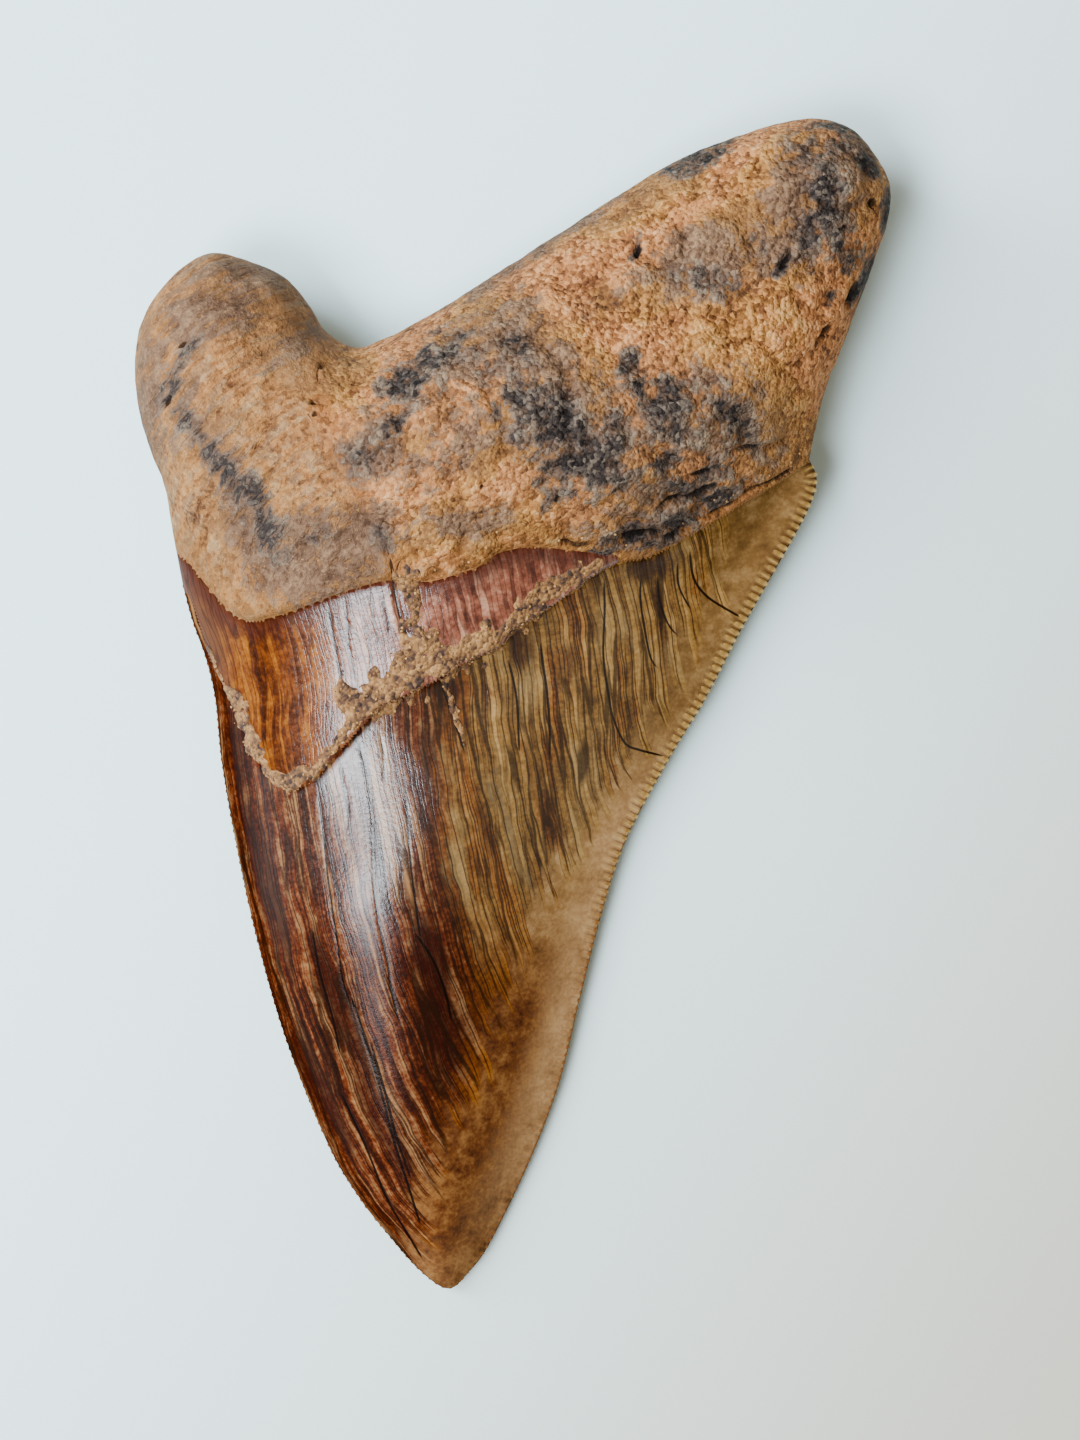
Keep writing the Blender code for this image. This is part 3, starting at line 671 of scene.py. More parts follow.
def add(tree, kind, inputs=None, stops=(), **settings):
    """Adds a node with its settings, its sockets' values or links, and its colour stops."""
    node = tree.nodes.new(kind)
    for name, value in settings.items():
        setattr(node, name, value)
    for socket, value in (inputs or {}).items():
        if isinstance(value, bpy.types.Node):
            value = next(output for output in value.outputs if output.enabled)
        if isinstance(value, bpy.types.NodeSocket):
            tree.links.new(value, node.inputs[socket])
        elif isinstance(value, str) and value.startswith("#"):
            node.inputs[socket].default_value = linear(value)
        else:
            node.inputs[socket].default_value = value
    for i, (place, colour) in enumerate(stops):
        elements = node.color_ramp.elements
        element = elements[i] if i < len(elements) else elements.new(place)
        element.position = place
        element.color = linear(colour)
    return node


def new_finish(name):
    """A material for one finish, and its empty node tree."""
    material = bpy.data.materials.new(name)
    material.use_nodes = True
    material.node_tree.nodes.clear()
    return material, material.node_tree


# Root dentine, bare and porous like hard sandstone: orange-tan grains of 0.3 to 0.6 mm with dark
# pores on the long lobe, browner and fibrous on the short one, black where manganese soaked in.
# Patterns on a streak's or a fibre's own place are in millimetres, and the others in metres.
MATH, MIX, RANGE = "ShaderNodeMath", "ShaderNodeMix", "ShaderNodeMapRange"
NOISE, CELLS, RAMP = "ShaderNodeTexNoise", "ShaderNodeTexVoronoi", "ShaderNodeValToRGB"
COORDS, KEPT_VALUE, PARTS = "ShaderNodeTexCoord", "ShaderNodeAttribute", "ShaderNodeSeparateXYZ"
SHADER, FINISHED = "ShaderNodeBsdfPrincipled", "ShaderNodeOutputMaterial"
SMOOTH, COLOURS = {"interpolation_type": "SMOOTHSTEP"}, {"data_type": "RGBA"}
SCALED, SCALED_SUM = {"operation": "MULTIPLY"}, {"operation": "MULTIPLY_ADD"}
GRAIN = 1 / 0.00046  # one grain to 0.46 mm
SPECK = 1 / 0.00032  # a pore or a pale crystal to 0.32 mm
MOTTLE = 1 / 0.0020
BLOT = 1 / 0.0045
PATCH = 1 / 0.0100
FIBRE = 1.1  # fibres to the millimetre
ROOT_BUMP = 0.00036  # how high its finest relief stands

root_dentine, tree = new_finish("root_dentine")
place = add(tree, COORDS).outputs["Object"]
tint = add(tree, KEPT_VALUE, attribute_name="root_tint").outputs["Vector"]
black, grey, short = add(tree, PARTS, {0: tint}).outputs
zone_at = add(tree, KEPT_VALUE, attribute_name="zone").outputs["Vector"]
past_lip, _, relief_for_shade = add(tree, PARTS, {0: zone_at}).outputs
line = add(tree, KEPT_VALUE, attribute_name="dark_line").outputs["Fac"]
crumb = add(tree, KEPT_VALUE, attribute_name="crumbly").outputs["Fac"]
fibre_place = add(tree, KEPT_VALUE, attribute_name="fibre").outputs["Vector"]

fibres = add(tree, NOISE, {
    "Vector": fibre_place, "Scale": FIBRE, "Detail": 3.0, "Roughness": 0.6, "Distortion": 0.6})
patches = add(tree, NOISE, {"Vector": place, "Scale": PATCH, "Detail": 3.0, "Roughness": 0.6})
# The two lobes' fibres meet in a seam, where they fade out and rust has gathered.
seam = add(tree, MATH, {0: 1.0, 1: short}, operation="SUBTRACT")
seam = add(tree, MATH, {0: seam, 1: short}, **SCALED)
seam = add(tree, MATH, {0: seam, 1: 4.0}, use_clamp=True, **SCALED)
fibres = add(tree, MIX, {0: seam, 2: fibres, 3: 0.5}, data_type="FLOAT")
blots = add(tree, NOISE, {"Vector": place, "Scale": BLOT, "Detail": 4.0, "Roughness": 0.6})
mottle = add(tree, NOISE, {"Vector": place, "Scale": MOTTLE, "Detail": 4.0, "Roughness": 0.65})
grains = add(tree, CELLS, {"Vector": place, "Scale": GRAIN})
grain_tone = add(tree, "ShaderNodeSeparateColor", {0: grains.outputs["Color"]}).outputs[0]
specks = add(tree, NOISE, {"Vector": place, "Scale": SPECK, "Detail": 2.0, "Roughness": 0.7})

# One tone for all of it, with painted shade darkening the relief's hollows: mottling, grains and
# blots on the long lobe, mostly fibres on the short one. It is rougher where the lip crumbles.
shared, mottled, fibrous = 0.05, 0.105, 0.065
for pattern, share in ((relief_for_shade, 0.10), (blots, 0.16)):
    shared = add(tree, MATH, {0: pattern, 1: share, 2: shared}, **SCALED_SUM)
for pattern, on_long, on_short in (
    (mottle, 0.20, 0.19), (fibres, 0.12, 0.26), (grain_tone, 0.14, 0.08), (specks, 0.07, 0.08),
):
    mottled = add(tree, MATH, {0: pattern, 1: on_long, 2: mottled}, **SCALED_SUM)
    fibrous = add(tree, MATH, {0: pattern, 1: on_short, 2: fibrous}, **SCALED_SUM)
own = add(tree, MIX, {0: short, 2: mottled, 3: fibrous}, data_type="FLOAT")
tone = add(tree, MATH, {0: shared, 1: own}, operation="ADD")
crumbled = add(tree, MATH, {0: mottle, 1: 1.3, 2: -0.67}, **SCALED_SUM)
tone = add(tree, MATH, {0: crumb, 1: crumbled, 2: tone}, **SCALED_SUM)
tan, rusty, brown, olive = (add(tree, RAMP, {0: tone}, stops=stops) for stops in (
    [(0.34, "#28150A"), (0.42, "#583417"), (0.49, "#86592A"), (0.55, "#A5743D"), (0.66, "#BC945E")],
    [(0.34, "#28140C"), (0.42, "#5A361F"), (0.49, "#905B33"), (0.55, "#AF7648"), (0.66, "#C29466")],
    [(0.34, "#20130D"), (0.42, "#50331E"), (0.49, "#815630"), (0.56, "#9F7142"), (0.68, "#B89060")],
    [(0.34, "#1B130E"), (0.42, "#403024"), (0.49, "#66503B"), (0.56, "#82694C"), (0.68, "#A08663")],
))

# Rust gathers in patches and in the seam, and a grey wash round each stain. It is darker along
# the lip, and broad darker patches are painted shade that stands in for the soft shading of
# creases.
olive_share = add(tree, RANGE, {0: fibres, 1: 0.44, 2: 0.62, 4: 0.9}, **SMOOTH)
brown = add(tree, MIX, {0: olive_share, 6: brown, 7: olive}, **COLOURS)
rusty_share = add(tree, RANGE, {0: patches, 1: 0.44, 2: 0.56}, **SMOOTH)
short_share = add(tree, MATH, {0: short, 1: 0.85}, **SCALED)
rust_line = add(tree, RANGE, {0: mottle, 1: 0.38, 2: 0.60, 4: 0.6}, **SMOOTH)
rust_line = add(tree, MATH, {0: rust_line, 1: seam}, **SCALED)
# Darker just above the lip.
lip_darkening = add(tree, MATH, {0: mottle, 1: 3.0, 2: past_lip}, **SCALED_SUM)
lip_darkening = add(tree, RANGE, {0: lip_darkening, 1: 5.5, 2: 2.0, 4: 0.5}, **SMOOTH)
# Painted shade: broad darker patches standing in for the shading of shallow creases.
painted_crease_shade = add(tree, RANGE, {0: patches, 1: 0.47, 2: 0.37, 4: 0.5}, **SMOOTH)
wash = add(tree, MATH, {0: grey, 1: 0.45}, **SCALED)
colour = tan
for share, over in (
    (rusty_share, rusty), (short_share, brown), (rust_line, "#7C4519"), (lip_darkening, "#6E471F"),
    (painted_crease_shade, "#6A4A30"), (wash, "#70543A"),
):
    colour = add(tree, MIX, {0: share, 6: colour, 7: over}, **COLOURS)

# The stains end in grains and fibres, not in a line: brown-grey outside and black inside.
ragged = add(tree, MIX, {0: short, 2: mottle, 3: fibres}, data_type="FLOAT")
ragged = add(tree, MATH, {0: ragged, 1: 3.2, 2: -2.95}, **SCALED_SUM)
for pattern, share in ((blots, 2.4), (grain_tone, 0.3)):
    ragged = add(tree, MATH, {0: pattern, 1: share, 2: ragged}, **SCALED_SUM)
for ellipse_tint, colours, inner_edge in (
    (grey, [(0.34, "#1A110C"), (0.43, "#3E2C21"), (0.52, "#614938"), (0.68, "#8C6F54")], 0.68),
    (black, [(0.34, "#150E0B"), (0.43, "#33271F"), (0.52, "#5A483C"), (0.66, "#8C7861")], 0.60),
    (black, [(0.38, "#040303"), (0.47, "#110F0F"), (0.55, "#302A28"), (0.66, "#766859")], 0.98),
):
    held = add(tree, RANGE, {0: ellipse_tint, 1: 0.0, 2: 0.4, 3: 0.1, 4: 1.0})
    edge = add(tree, MATH, {0: ragged, 1: held, 2: ellipse_tint}, **SCALED_SUM)
    share = add(tree, RANGE, {0: edge, 1: inner_edge - 0.3, 2: inner_edge, 4: 0.94}, **SMOOTH)
    stained_colour = add(tree, RAMP, {0: tone}, stops=colours)
    colour = add(tree, MIX, {0: share, 6: colour, 7: stained_colour}, **COLOURS)

# Pores are dark, and cracks nearly black with torn sides. Pale specks are loose crystals and
# painted glints on the grains.
pores = add(tree, RANGE, {0: specks, 1: 0.39, 2: 0.29, 4: 0.5}, **SMOOTH)
grainy = add(tree, RANGE, {0: short, 3: 1.0, 4: 0.6})
pores = add(tree, MATH, {0: pores, 1: grainy}, **SCALED)
pale_grains_and_glints = add(tree, RANGE, {0: specks, 1: 0.60, 2: 0.76, 4: 0.35}, **SMOOTH)
unstained = add(tree, MATH, {0: 1.0, 1: black}, operation="SUBTRACT", use_clamp=True)
pale_grains_and_glints = add(tree, MATH, {0: pale_grains_and_glints, 1: unstained}, **SCALED)
torn = add(tree, MATH, {0: mottle, 1: 5.0, 2: -2.6}, **SCALED_SUM)
torn = add(tree, MATH, {0: torn, 1: line, 2: line}, **SCALED_SUM)
torn = add(tree, RANGE, {0: torn, 1: 0.25, 2: 0.85, 4: 0.85}, **SMOOTH)
for share, over in ((pores, "#1C0C06"), (pale_grains_and_glints, "#CC9A5C"), (torn, "#0B0604")):
    colour = add(tree, MIX, {0: share, 6: colour, 7: over}, **COLOURS)

# It is granular on the long lobe, and combed by its fibres on the short one.
granular = add(tree, MATH, {0: grains.outputs["Distance"], 1: -0.6, 2: mottle}, **SCALED_SUM)
combed = mottle
for pattern, on_long, on_short in ((specks, 0.5, 0.5), (fibres, 0.8, 1.6)):
    granular = add(tree, MATH, {0: pattern, 1: on_long, 2: granular}, **SCALED_SUM)
    combed = add(tree, MATH, {0: pattern, 1: on_short, 2: combed}, **SCALED_SUM)
height = add(tree, MIX, {0: short, 2: granular, 3: combed}, data_type="FLOAT")
height = add(tree, MATH, {0: blots, 1: 1.6, 2: height}, **SCALED_SUM)
bump = add(tree, "ShaderNodeBump", {"Height": height, "Distance": ROOT_BUMP, "Strength": 1.0})
shader = add(tree, SHADER, {
    "Base Color": colour, "Roughness": 0.85, "IOR": 1.4, "Specular IOR Level": 0.15,
    "Normal": bump})
add(tree, FINISHED, {"Surface": shader})

# Crown enamel, glassy and hard: growth streaks some 0.5 mm apart in tan and brown, red-brown over
# the crest, and a smooth golden margin along the right edge that the streaks end against.
STREAK = 1.8  # streaks to the millimetre
LONG_SPLIT = 0.85  # long cracks to the millimetre
STREAK_STRETCH = 0.035
PATCH_STRETCH = 0.24
WAVER = 170.0  # the streaks waver once in 6 mm
WAVER_REACH = 1.2
CROWN_MOTTLE = 620.0  # blots of 1.6 mm
CROWN_GRAIN = 2600.0  # a speckle of 0.4 mm
CROWN_BUMP = 0.00005


def read_streaks(tree, place, across, down, stretch, per_mm):
    """Patterns down the streaks: (waver, wavy, place, each streak's tone, gaps between them)."""
    waver = add(tree, NOISE, {"Vector": place, "Scale": WAVER, "Detail": 2.0})
    wavy = add(tree, MATH, {0: waver, 1: WAVER_REACH, 2: across}, **SCALED_SUM)
    stretched = add(tree, MATH, {0: down, 1: stretch}, **SCALED)
    streak_place = add(tree, "ShaderNodeCombineXYZ", {0: wavy, 1: stretched})
    cells = add(tree, CELLS, {"Vector": streak_place, "Scale": per_mm}, voronoi_dimensions="2D")
    each_tone = add(tree, "ShaderNodeSeparateColor", {0: cells.outputs["Color"]}).outputs[0]
    gaps = add(tree, CELLS, {"Vector": streak_place, "Scale": per_mm},
               voronoi_dimensions="2D", feature="DISTANCE_TO_EDGE")
    return waver, wavy, streak_place, each_tone, gaps


crown_enamel, tree = new_finish("crown_enamel")
place = add(tree, COORDS).outputs["Object"]
streak_at = add(tree, KEPT_VALUE, attribute_name="streak").outputs["Vector"]
across, down, margin = add(tree, PARTS, {0: streak_at}).outputs
tint = add(tree, KEPT_VALUE, attribute_name="enamel_tint").outputs["Vector"]
red, tipward, ellipse_tint = add(tree, PARTS, {0: tint}).outputs
comb_at = add(tree, KEPT_VALUE, attribute_name="serration").outputs["Vector"]
turns, edge_depth, _ = add(tree, PARTS, {0: comb_at}).outputs
zone_at = add(tree, KEPT_VALUE, attribute_name="zone").outputs["Vector"]
past_chevron = add(tree, PARTS, {0: zone_at}).outputs[1]
x = add(tree, PARTS, {0: place}).outputs[0]
line = add(tree, KEPT_VALUE, attribute_name="dark_line").outputs["Fac"]

waver, wavy, streak_place, streak_tone, gaps = read_streaks(
    tree, place, across, down, STREAK_STRETCH, STREAK)
long_gaps = add(tree, CELLS, {"Vector": streak_place, "Scale": LONG_SPLIT},
                voronoi_dimensions="2D", feature="DISTANCE_TO_EDGE")
bands = add(tree, NOISE, {
    "Vector": streak_place, "Scale": 1.1, "Detail": 4.0, "Roughness": 0.65})
shortened = add(tree, MATH, {0: down, 1: PATCH_STRETCH}, **SCALED)
patch_place = add(tree, "ShaderNodeCombineXYZ", {0: wavy, 1: shortened})
patches = add(tree, NOISE, {
    "Vector": patch_place, "Scale": 0.30, "Detail": 5.0, "Roughness": 0.62})
mottle = add(tree, NOISE, {
    "Vector": place, "Scale": CROWN_MOTTLE, "Detail": 4.0, "Roughness": 0.65})
grain = add(tree, NOISE, {"Vector": place, "Scale": CROWN_GRAIN, "Detail": 2.0, "Roughness": 0.6})

# It is tan, bleached in places, orange where rust has soaked in, and red-brown over the crest.
tone, red_tone, jitter = 0.11, -0.13, -1.3
for pattern, share in ((bands, 0.30), (streak_tone, 0.10), (mottle, 0.23), (grain, 0.15)):
    tone = add(tree, MATH, {0: pattern, 1: share, 2: tone}, **SCALED_SUM)
for pattern, share in ((bands, 0.26), (tone, 1.0)):
    red_tone = add(tree, MATH, {0: pattern, 1: share, 2: red_tone}, **SCALED_SUM)
for pattern, share in ((bands, 1.6), (patches, 0.7), (streak_tone, 0.3)):
    jitter = add(tree, MATH, {0: pattern, 1: share, 2: jitter}, **SCALED_SUM)
tan, orange, red_brown = (add(tree, RAMP, {0: at}, stops=stops) for at, stops in (
    (tone, [(0.36, "#2C1B0C"), (0.44, "#4C3216"), (0.51, "#6D4D22"), (0.62, "#937243")]),
    (tone, [(0.36, "#1E0803"), (0.44, "#3E1A05"), (0.51, "#603009"), (0.62, "#84521D")]),
    (red_tone, [(0.36, "#0E0403"), (0.45, "#2B0C04"), (0.51, "#4E210B"), (0.60, "#7A5635")]),
))
rust_at = add(tree, MATH, {0: red, 1: 0.28, 2: patches}, **SCALED_SUM)
rust_share = add(tree, RANGE, {0: rust_at, 1: 0.50, 2: 0.64, 4: 0.8}, **SMOOTH)
rust_share = add(tree, MATH, {0: rust_share, 1: tipward}, operation="MAXIMUM")
bleached = add(tree, RANGE, {0: patches, 1: 0.48, 2: 0.34, 4: 0.3}, **SMOOTH)
colour = tan
for share, over in ((bleached, "#8A7650"), (rust_share, orange)):
    colour = add(tree, MIX, {0: share, 6: colour, 7: over}, **COLOURS)
# The listed red patches darken it: iron stains, and painted shade just under the chevron's ledge.
for patch, whole, most, over in ((red, 0.80, 1.0, red_brown), (ellipse_tint, 1.0, 0.9, "#200503")):
    edge = add(tree, MATH, {0: patch, 1: jitter}, operation="ADD")
    share = add(tree, RANGE, {0: edge, 1: 0.35, 2: whole, 4: most}, **SMOOTH)
    colour = add(tree, MIX, {0: share, 6: colour, 7: over}, **COLOURS)

# Thin dark splits part the streaks, more in some bundles than in others, and each ends at its
# own place short of the margin. Longer ones run down the red side.
fade = margin
for pattern, share in ((streak_tone, 3.5), (bands, 5.0)):
    fade = add(tree, MATH, {0: pattern, 1: share, 2: fade}, **SCALED_SUM)
streaked = add(tree, RANGE, {0: fade, 1: 3.6, 2: 5.4}, **SMOOTH)
bundles = add(tree, RANGE, {0: patches, 1: 0.36, 2: 0.60, 3: 0.35}, **SMOOTH)
split = add(tree, RANGE, {0: gaps, 1: 0.14, 2: 0.03}, **SMOOTH)
split = add(tree, MATH, {0: split, 1: bundles}, **SCALED)
long_split = add(tree, RANGE, {0: long_gaps, 1: 0.075, 2: 0.03}, **SMOOTH)
split = add(tree, MATH, {0: split, 1: long_split}, operation="MAXIMUM")
split = add(tree, MATH, {0: split, 1: streaked}, **SCALED)
split_share = add(tree, MATH, {0: split, 1: 0.8}, **SCALED)
colour = add(tree, MIX, {0: split_share, 6: colour, 7: "#150803"}, **COLOURS)

# The margin is speckled amber towards the tip and pale gold beside the edge.
cloud = 0.0
for pattern, share in ((waver, 0.25), (mottle, 0.55), (grain, 0.20)):
    cloud = add(tree, MATH, {0: pattern, 1: share, 2: cloud}, **SCALED_SUM)
gold, gold_low, amber, pale, pale_low = (add(tree, RAMP, {0: cloud}, stops=stops) for stops in (
    [(0.36, "#412C14"), (0.50, "#5C4120"), (0.64, "#775B38")],
    [(0.36, "#583C1C"), (0.50, "#785832"), (0.64, "#92744E")],
    [(0.38, "#30160B"), (0.50, "#522E14"), (0.62, "#704B26")],
    [(0.34, "#462F18"), (0.50, "#614525"), (0.66, "#7B5F3A")],
    [(0.34, "#694A2C"), (0.50, "#8A6844"), (0.66, "#A4845C")],
))
lower = add(tree, RANGE, {0: down, 1: 2.0, 2: -14.0}, **SMOOTH)
gold = add(tree, MIX, {0: lower, 6: gold, 7: gold_low}, **COLOURS)
pale = add(tree, MIX, {0: lower, 6: pale, 7: pale_low}, **COLOURS)
beside = add(tree, MATH, {0: mottle, 1: 4.5, 2: edge_depth}, **SCALED_SUM)
beside = add(tree, RANGE, {0: beside, 1: 7.4, 2: 3.4, 4: 0.85}, **SMOOTH)
above_tip = add(tree, RANGE, {0: down, 1: -56.0, 2: -42.0, 3: 0.2, 4: 1.0})
beside = add(tree, MATH, {0: beside, 1: above_tip}, **SCALED)
smooth_colour = gold
for share, over in ((tipward, amber), (beside, pale), (streaked, colour)):
    smooth_colour = add(tree, MIX, {0: share, 6: smooth_colour, 7: over}, **COLOURS)
colour = smooth_colour

# The serrations' roots run a little way in from the edge as pale and dark lines.
wave = add(tree, MATH, {0: turns, 1: 2 * math.pi}, **SCALED)
wave = add(tree, MATH, {0: wave}, operation="COSINE")
reach = add(tree, MATH, {0: mottle, 1: -1.8, 2: edge_depth}, **SCALED_SUM)
near_edge = add(tree, RANGE, {0: reach, 1: 0.7, 2: -0.4}, **SMOOTH)
on_right = add(tree, RANGE, {0: margin, 1: -0.5, 2: -3.0})
unworn = add(tree, RANGE, {0: down, 1: -32.0, 2: -6.0, 3: 0.25, 4: 1.0})
for part in (on_right, unworn):
    near_edge = add(tree, MATH, {0: near_edge, 1: part}, **SCALED)
pale_line = add(tree, RANGE, {0: wave, 1: 0.1, 2: 0.9, 4: 0.55}, **SMOOTH)
pale_line = add(tree, MATH, {0: pale_line, 1: near_edge}, **SCALED)
dark_gap = add(tree, RANGE, {0: wave, 1: -0.6, 2: -0.98, 4: 0.65}, **SMOOTH)
dark_gap = add(tree, MATH, {0: dark_gap, 1: near_edge}, **SCALED)
comb_colour = add(tree, MIX, {0: tipward, 6: "#AE8E50", 7: "#8A5A24"}, **COLOURS)
comb_colour = add(tree, MIX, {0: red, 6: comb_colour, 7: "#5A2C14"}, **COLOURS)
crack = add(tree, RANGE, {0: line, 1: 0.05, 2: 0.45, 4: 0.95}, **SMOOTH)
for share, over in ((pale_line, comb_colour), (dark_gap, "#2A1406"), (crack, "#080302")):
    colour = add(tree, MIX, {0: share, 6: colour, 7: over}, **COLOURS)

# It is worn duller towards the tip, beside both edges, beside the chevron and at the far right.
roughness = add(tree, RANGE, {0: grain, 1: 0.3, 2: 0.7, 3: 0.19, 4: 0.30})
gloss = add(tree, RANGE, {0: down, 1: -12.0, 2: -28.0, 3: 0.44, 4: 0.06}, **SMOOTH)
for reaches, dull, clear in (
    (across, 3.5, 9.0), (margin, -1.0, 1.5), (past_chevron, -0.1, -0.8), (x, 0.020, 0.010),
):
    clean = add(tree, RANGE, {0: reaches, 1: dull, 2: clear})
    gloss = add(tree, MATH, {0: gloss, 1: clean}, **SCALED)
    worn = add(tree, RANGE, {0: clean, 3: 0.25, 4: 0.0})
    roughness = add(tree, MATH, {0: roughness, 1: worn}, operation="ADD")
height = 0.0
for pattern, share in ((split, -0.12), (grain, 0.55), (pale_line, 1.5)):
    height = add(tree, MATH, {0: pattern, 1: share, 2: height}, **SCALED_SUM)
bump = add(tree, "ShaderNodeBump", {"Height": height, "Distance": CROWN_BUMP, "Strength": 1.0})
shader = add(tree, SHADER, {
    "Base Color": colour, "Roughness": roughness, "IOR": 1.55, "Specular IOR Level": gloss,
    "Normal": bump})
add(tree, FINISHED, {"Surface": shader})

# Bourlette enamel, so thin that the dentine shows through: golden-brown streaks on the left, dull
# red ribs on the right, and a dark red band close under the root's lip.
RIBS = 2.1  # to the millimetre
RIB_STRETCH = 0.06
BOURLETTE_MOTTLE = 600.0
BOURLETTE_GRAIN = 2200.0
BOURLETTE_BUMP = 0.00006

bourlette_enamel, tree = new_finish("bourlette_enamel")
place = add(tree, COORDS).outputs["Object"]
x = add(tree, PARTS, {0: place}).outputs[0]
streak_at = add(tree, KEPT_VALUE, attribute_name="streak").outputs["Vector"]
across, down, _ = add(tree, PARTS, {0: streak_at}).outputs
zone_at = add(tree, KEPT_VALUE, attribute_name="zone").outputs["Vector"]
past_lip = add(tree, PARTS, {0: zone_at}).outputs[0]
line = add(tree, KEPT_VALUE, attribute_name="dark_line").outputs["Fac"]

_, _, streak_place, rib_tone, gaps = read_streaks(tree, place, across, down, RIB_STRETCH, RIBS)
bands = add(tree, NOISE, {
    "Vector": streak_place, "Scale": 0.8, "Detail": 4.0, "Roughness": 0.65})
mottle = add(tree, NOISE, {
    "Vector": place, "Scale": BOURLETTE_MOTTLE, "Detail": 4.0, "Roughness": 0.65})
grain = add(tree, NOISE, {
    "Vector": place, "Scale": BOURLETTE_GRAIN, "Detail": 2.0, "Roughness": 0.6})

tone = 0.115
for pattern, share in ((bands, 0.19), (rib_tone, 0.12), (mottle, 0.30), (grain, 0.16)):
    tone = add(tree, MATH, {0: pattern, 1: share, 2: tone}, **SCALED_SUM)
golden, ribbed = (add(tree, RAMP, {0: tone}, stops=stops) for stops in (
    [(0.36, "#180702"), (0.44, "#3A1705"), (0.51, "#5C2B08"), (0.62, "#844F14")],
    [(0.36, "#240D09"), (0.44, "#522618"), (0.51, "#784430"), (0.62, "#A47860")],
))
right_share = add(tree, RANGE, {0: x, 1: -0.020, 2: -0.011}, **SMOOTH)
left_share = add(tree, RANGE, {0: x, 1: -0.0275, 2: -0.031, 4: 0.8}, **SMOOTH)
under_lip = add(tree, MATH, {0: mottle, 1: -1.4, 2: past_lip}, **SCALED_SUM)
under_lip = add(tree, RANGE, {0: under_lip, 1: -3.4, 2: -1.6, 4: 0.75}, **SMOOTH)
split = add(tree, RANGE, {0: gaps, 1: 0.14, 2: 0.03}, **SMOOTH)
split_share = add(tree, MATH, {0: split, 1: 0.5}, **SCALED)
crack = add(tree, RANGE, {0: line, 1: 0.05, 2: 0.45, 4: 0.95}, **SMOOTH)
colour = golden
for share, over in (
    (right_share, ribbed), (left_share, "#54331F"), (under_lip, "#3A160D"),
    (split_share, "#1A0805"), (crack, "#080302"),
):
    colour = add(tree, MIX, {0: share, 6: colour, 7: over}, **COLOURS)

roughness = add(tree, RANGE, {0: grain, 1: 0.3, 2: 0.7, 3: 0.20, 4: 0.32})
roughness = add(tree, MATH, {0: left_share, 1: 0.4, 2: roughness}, **SCALED_SUM)
gloss = add(tree, RANGE, {0: x, 1: -0.0255, 2: -0.0205, 3: 0.05, 4: 0.42}, **SMOOTH)
clean = add(tree, RANGE, {0: past_lip, 1: -0.2, 2: -0.9})
gloss = add(tree, MATH, {0: gloss, 1: clean}, **SCALED)
height = 0.0
for pattern, share in ((split, -0.12), (grain, 0.60)):
    height = add(tree, MATH, {0: pattern, 1: share, 2: height}, **SCALED_SUM)
bump = add(tree, "ShaderNodeBump", {"Height": height, "Distance": BOURLETTE_BUMP, "Strength": 1.0})
shader = add(tree, SHADER, {
    "Base Color": colour, "Roughness": roughness, "IOR": 1.55, "Specular IOR Level": gloss,
    "Normal": bump})
add(tree, FINISHED, {"Surface": shader})

# Each face has the finish of its side of the lines. Right of LEDGE_START the root's lip reaches
# the chevron, so there is no bourlette.
ROOT, BOURLETTE, CROWN = range(3)
LIP_SPILL = 0.2  # how far the root's finish spills over its lip
LEDGE_START = 10.5
for material in (root_dentine, bourlette_enamel, crown_enamel):
    tooth_mesh.materials.append(material)
past_lip, past_chevron = (where[name][faces].mean(1) for name in ("past_lip", "past_chevron"))
is_root = (past_lip > -LIP_SPILL) | (plan[faces].mean(1)[:, 0] > LEDGE_START)
finish = np.where(past_chevron < 0, CROWN, np.where(is_root, ROOT, BOURLETTE))
tooth_mesh.polygons.foreach_set("material_index", finish.astype(np.int32))
tooth_mesh.shade_smooth()

tooth = in_scene("tooth_surface", tooth_mesh)
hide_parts("tooth")
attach(tooth, "root")


# The serrations.
# Fine blunt points of enamel along both cutting edges, as on a steak knife. They are cream where
# light shines into them on the upper crown and brown towards the tip; a few are chipped away.
SERRATION_SIZE = (0.58, 1.5, 0.45)  # along the edge, into the tooth, and high
LEFT_WEAR = 0.12  # the left edge's serrations are worn to this much of that
RIGHT_WEAR = [(-61, 0.25), (-30, 0.35), (-14, 0.7), (0, 1.0)]  # and the right one's, as (y, share)
OVERHANG = 0.24  # how far a serration stands out past the edge
EDGE_SLOPES = (1.6, 0.5)  # the crown's rise behind its left and right edges
KEPT = 0.95

# Serration enamel, thin and unpolished: cream or amber points, browner where they join the crown.
serration_enamel, tree = new_finish("serration_enamel")
x, y, _ = add(tree, PARTS, {0: add(tree, COORDS).outputs["Object"]}).outputs
inner = add(tree, KEPT_VALUE, attribute_name="inner_share").outputs["Fac"]
chip = add(tree, KEPT_VALUE, attribute_name="tone").outputs["Fac"]
upper = add(tree, RANGE, {0: y, 1: -0.030, 2: -0.004}, **SMOOTH)
point = add(tree, MIX, {0: upper, 6: "#744A1C", 7: "#C2A462"}, **COLOURS)
foot = add(tree, MIX, {0: upper, 6: "#5E360F", 7: "#80602C"}, **COLOURS)
inward = add(tree, RANGE, {0: inner, 1: 0.1, 2: 0.6}, **SMOOTH)
left = add(tree, RANGE, {0: x, 1: -0.008, 2: -0.010, 4: 0.9})
dimmed = add(tree, MATH, {0: chip, 1: 0.35}, **SCALED)
colour = point
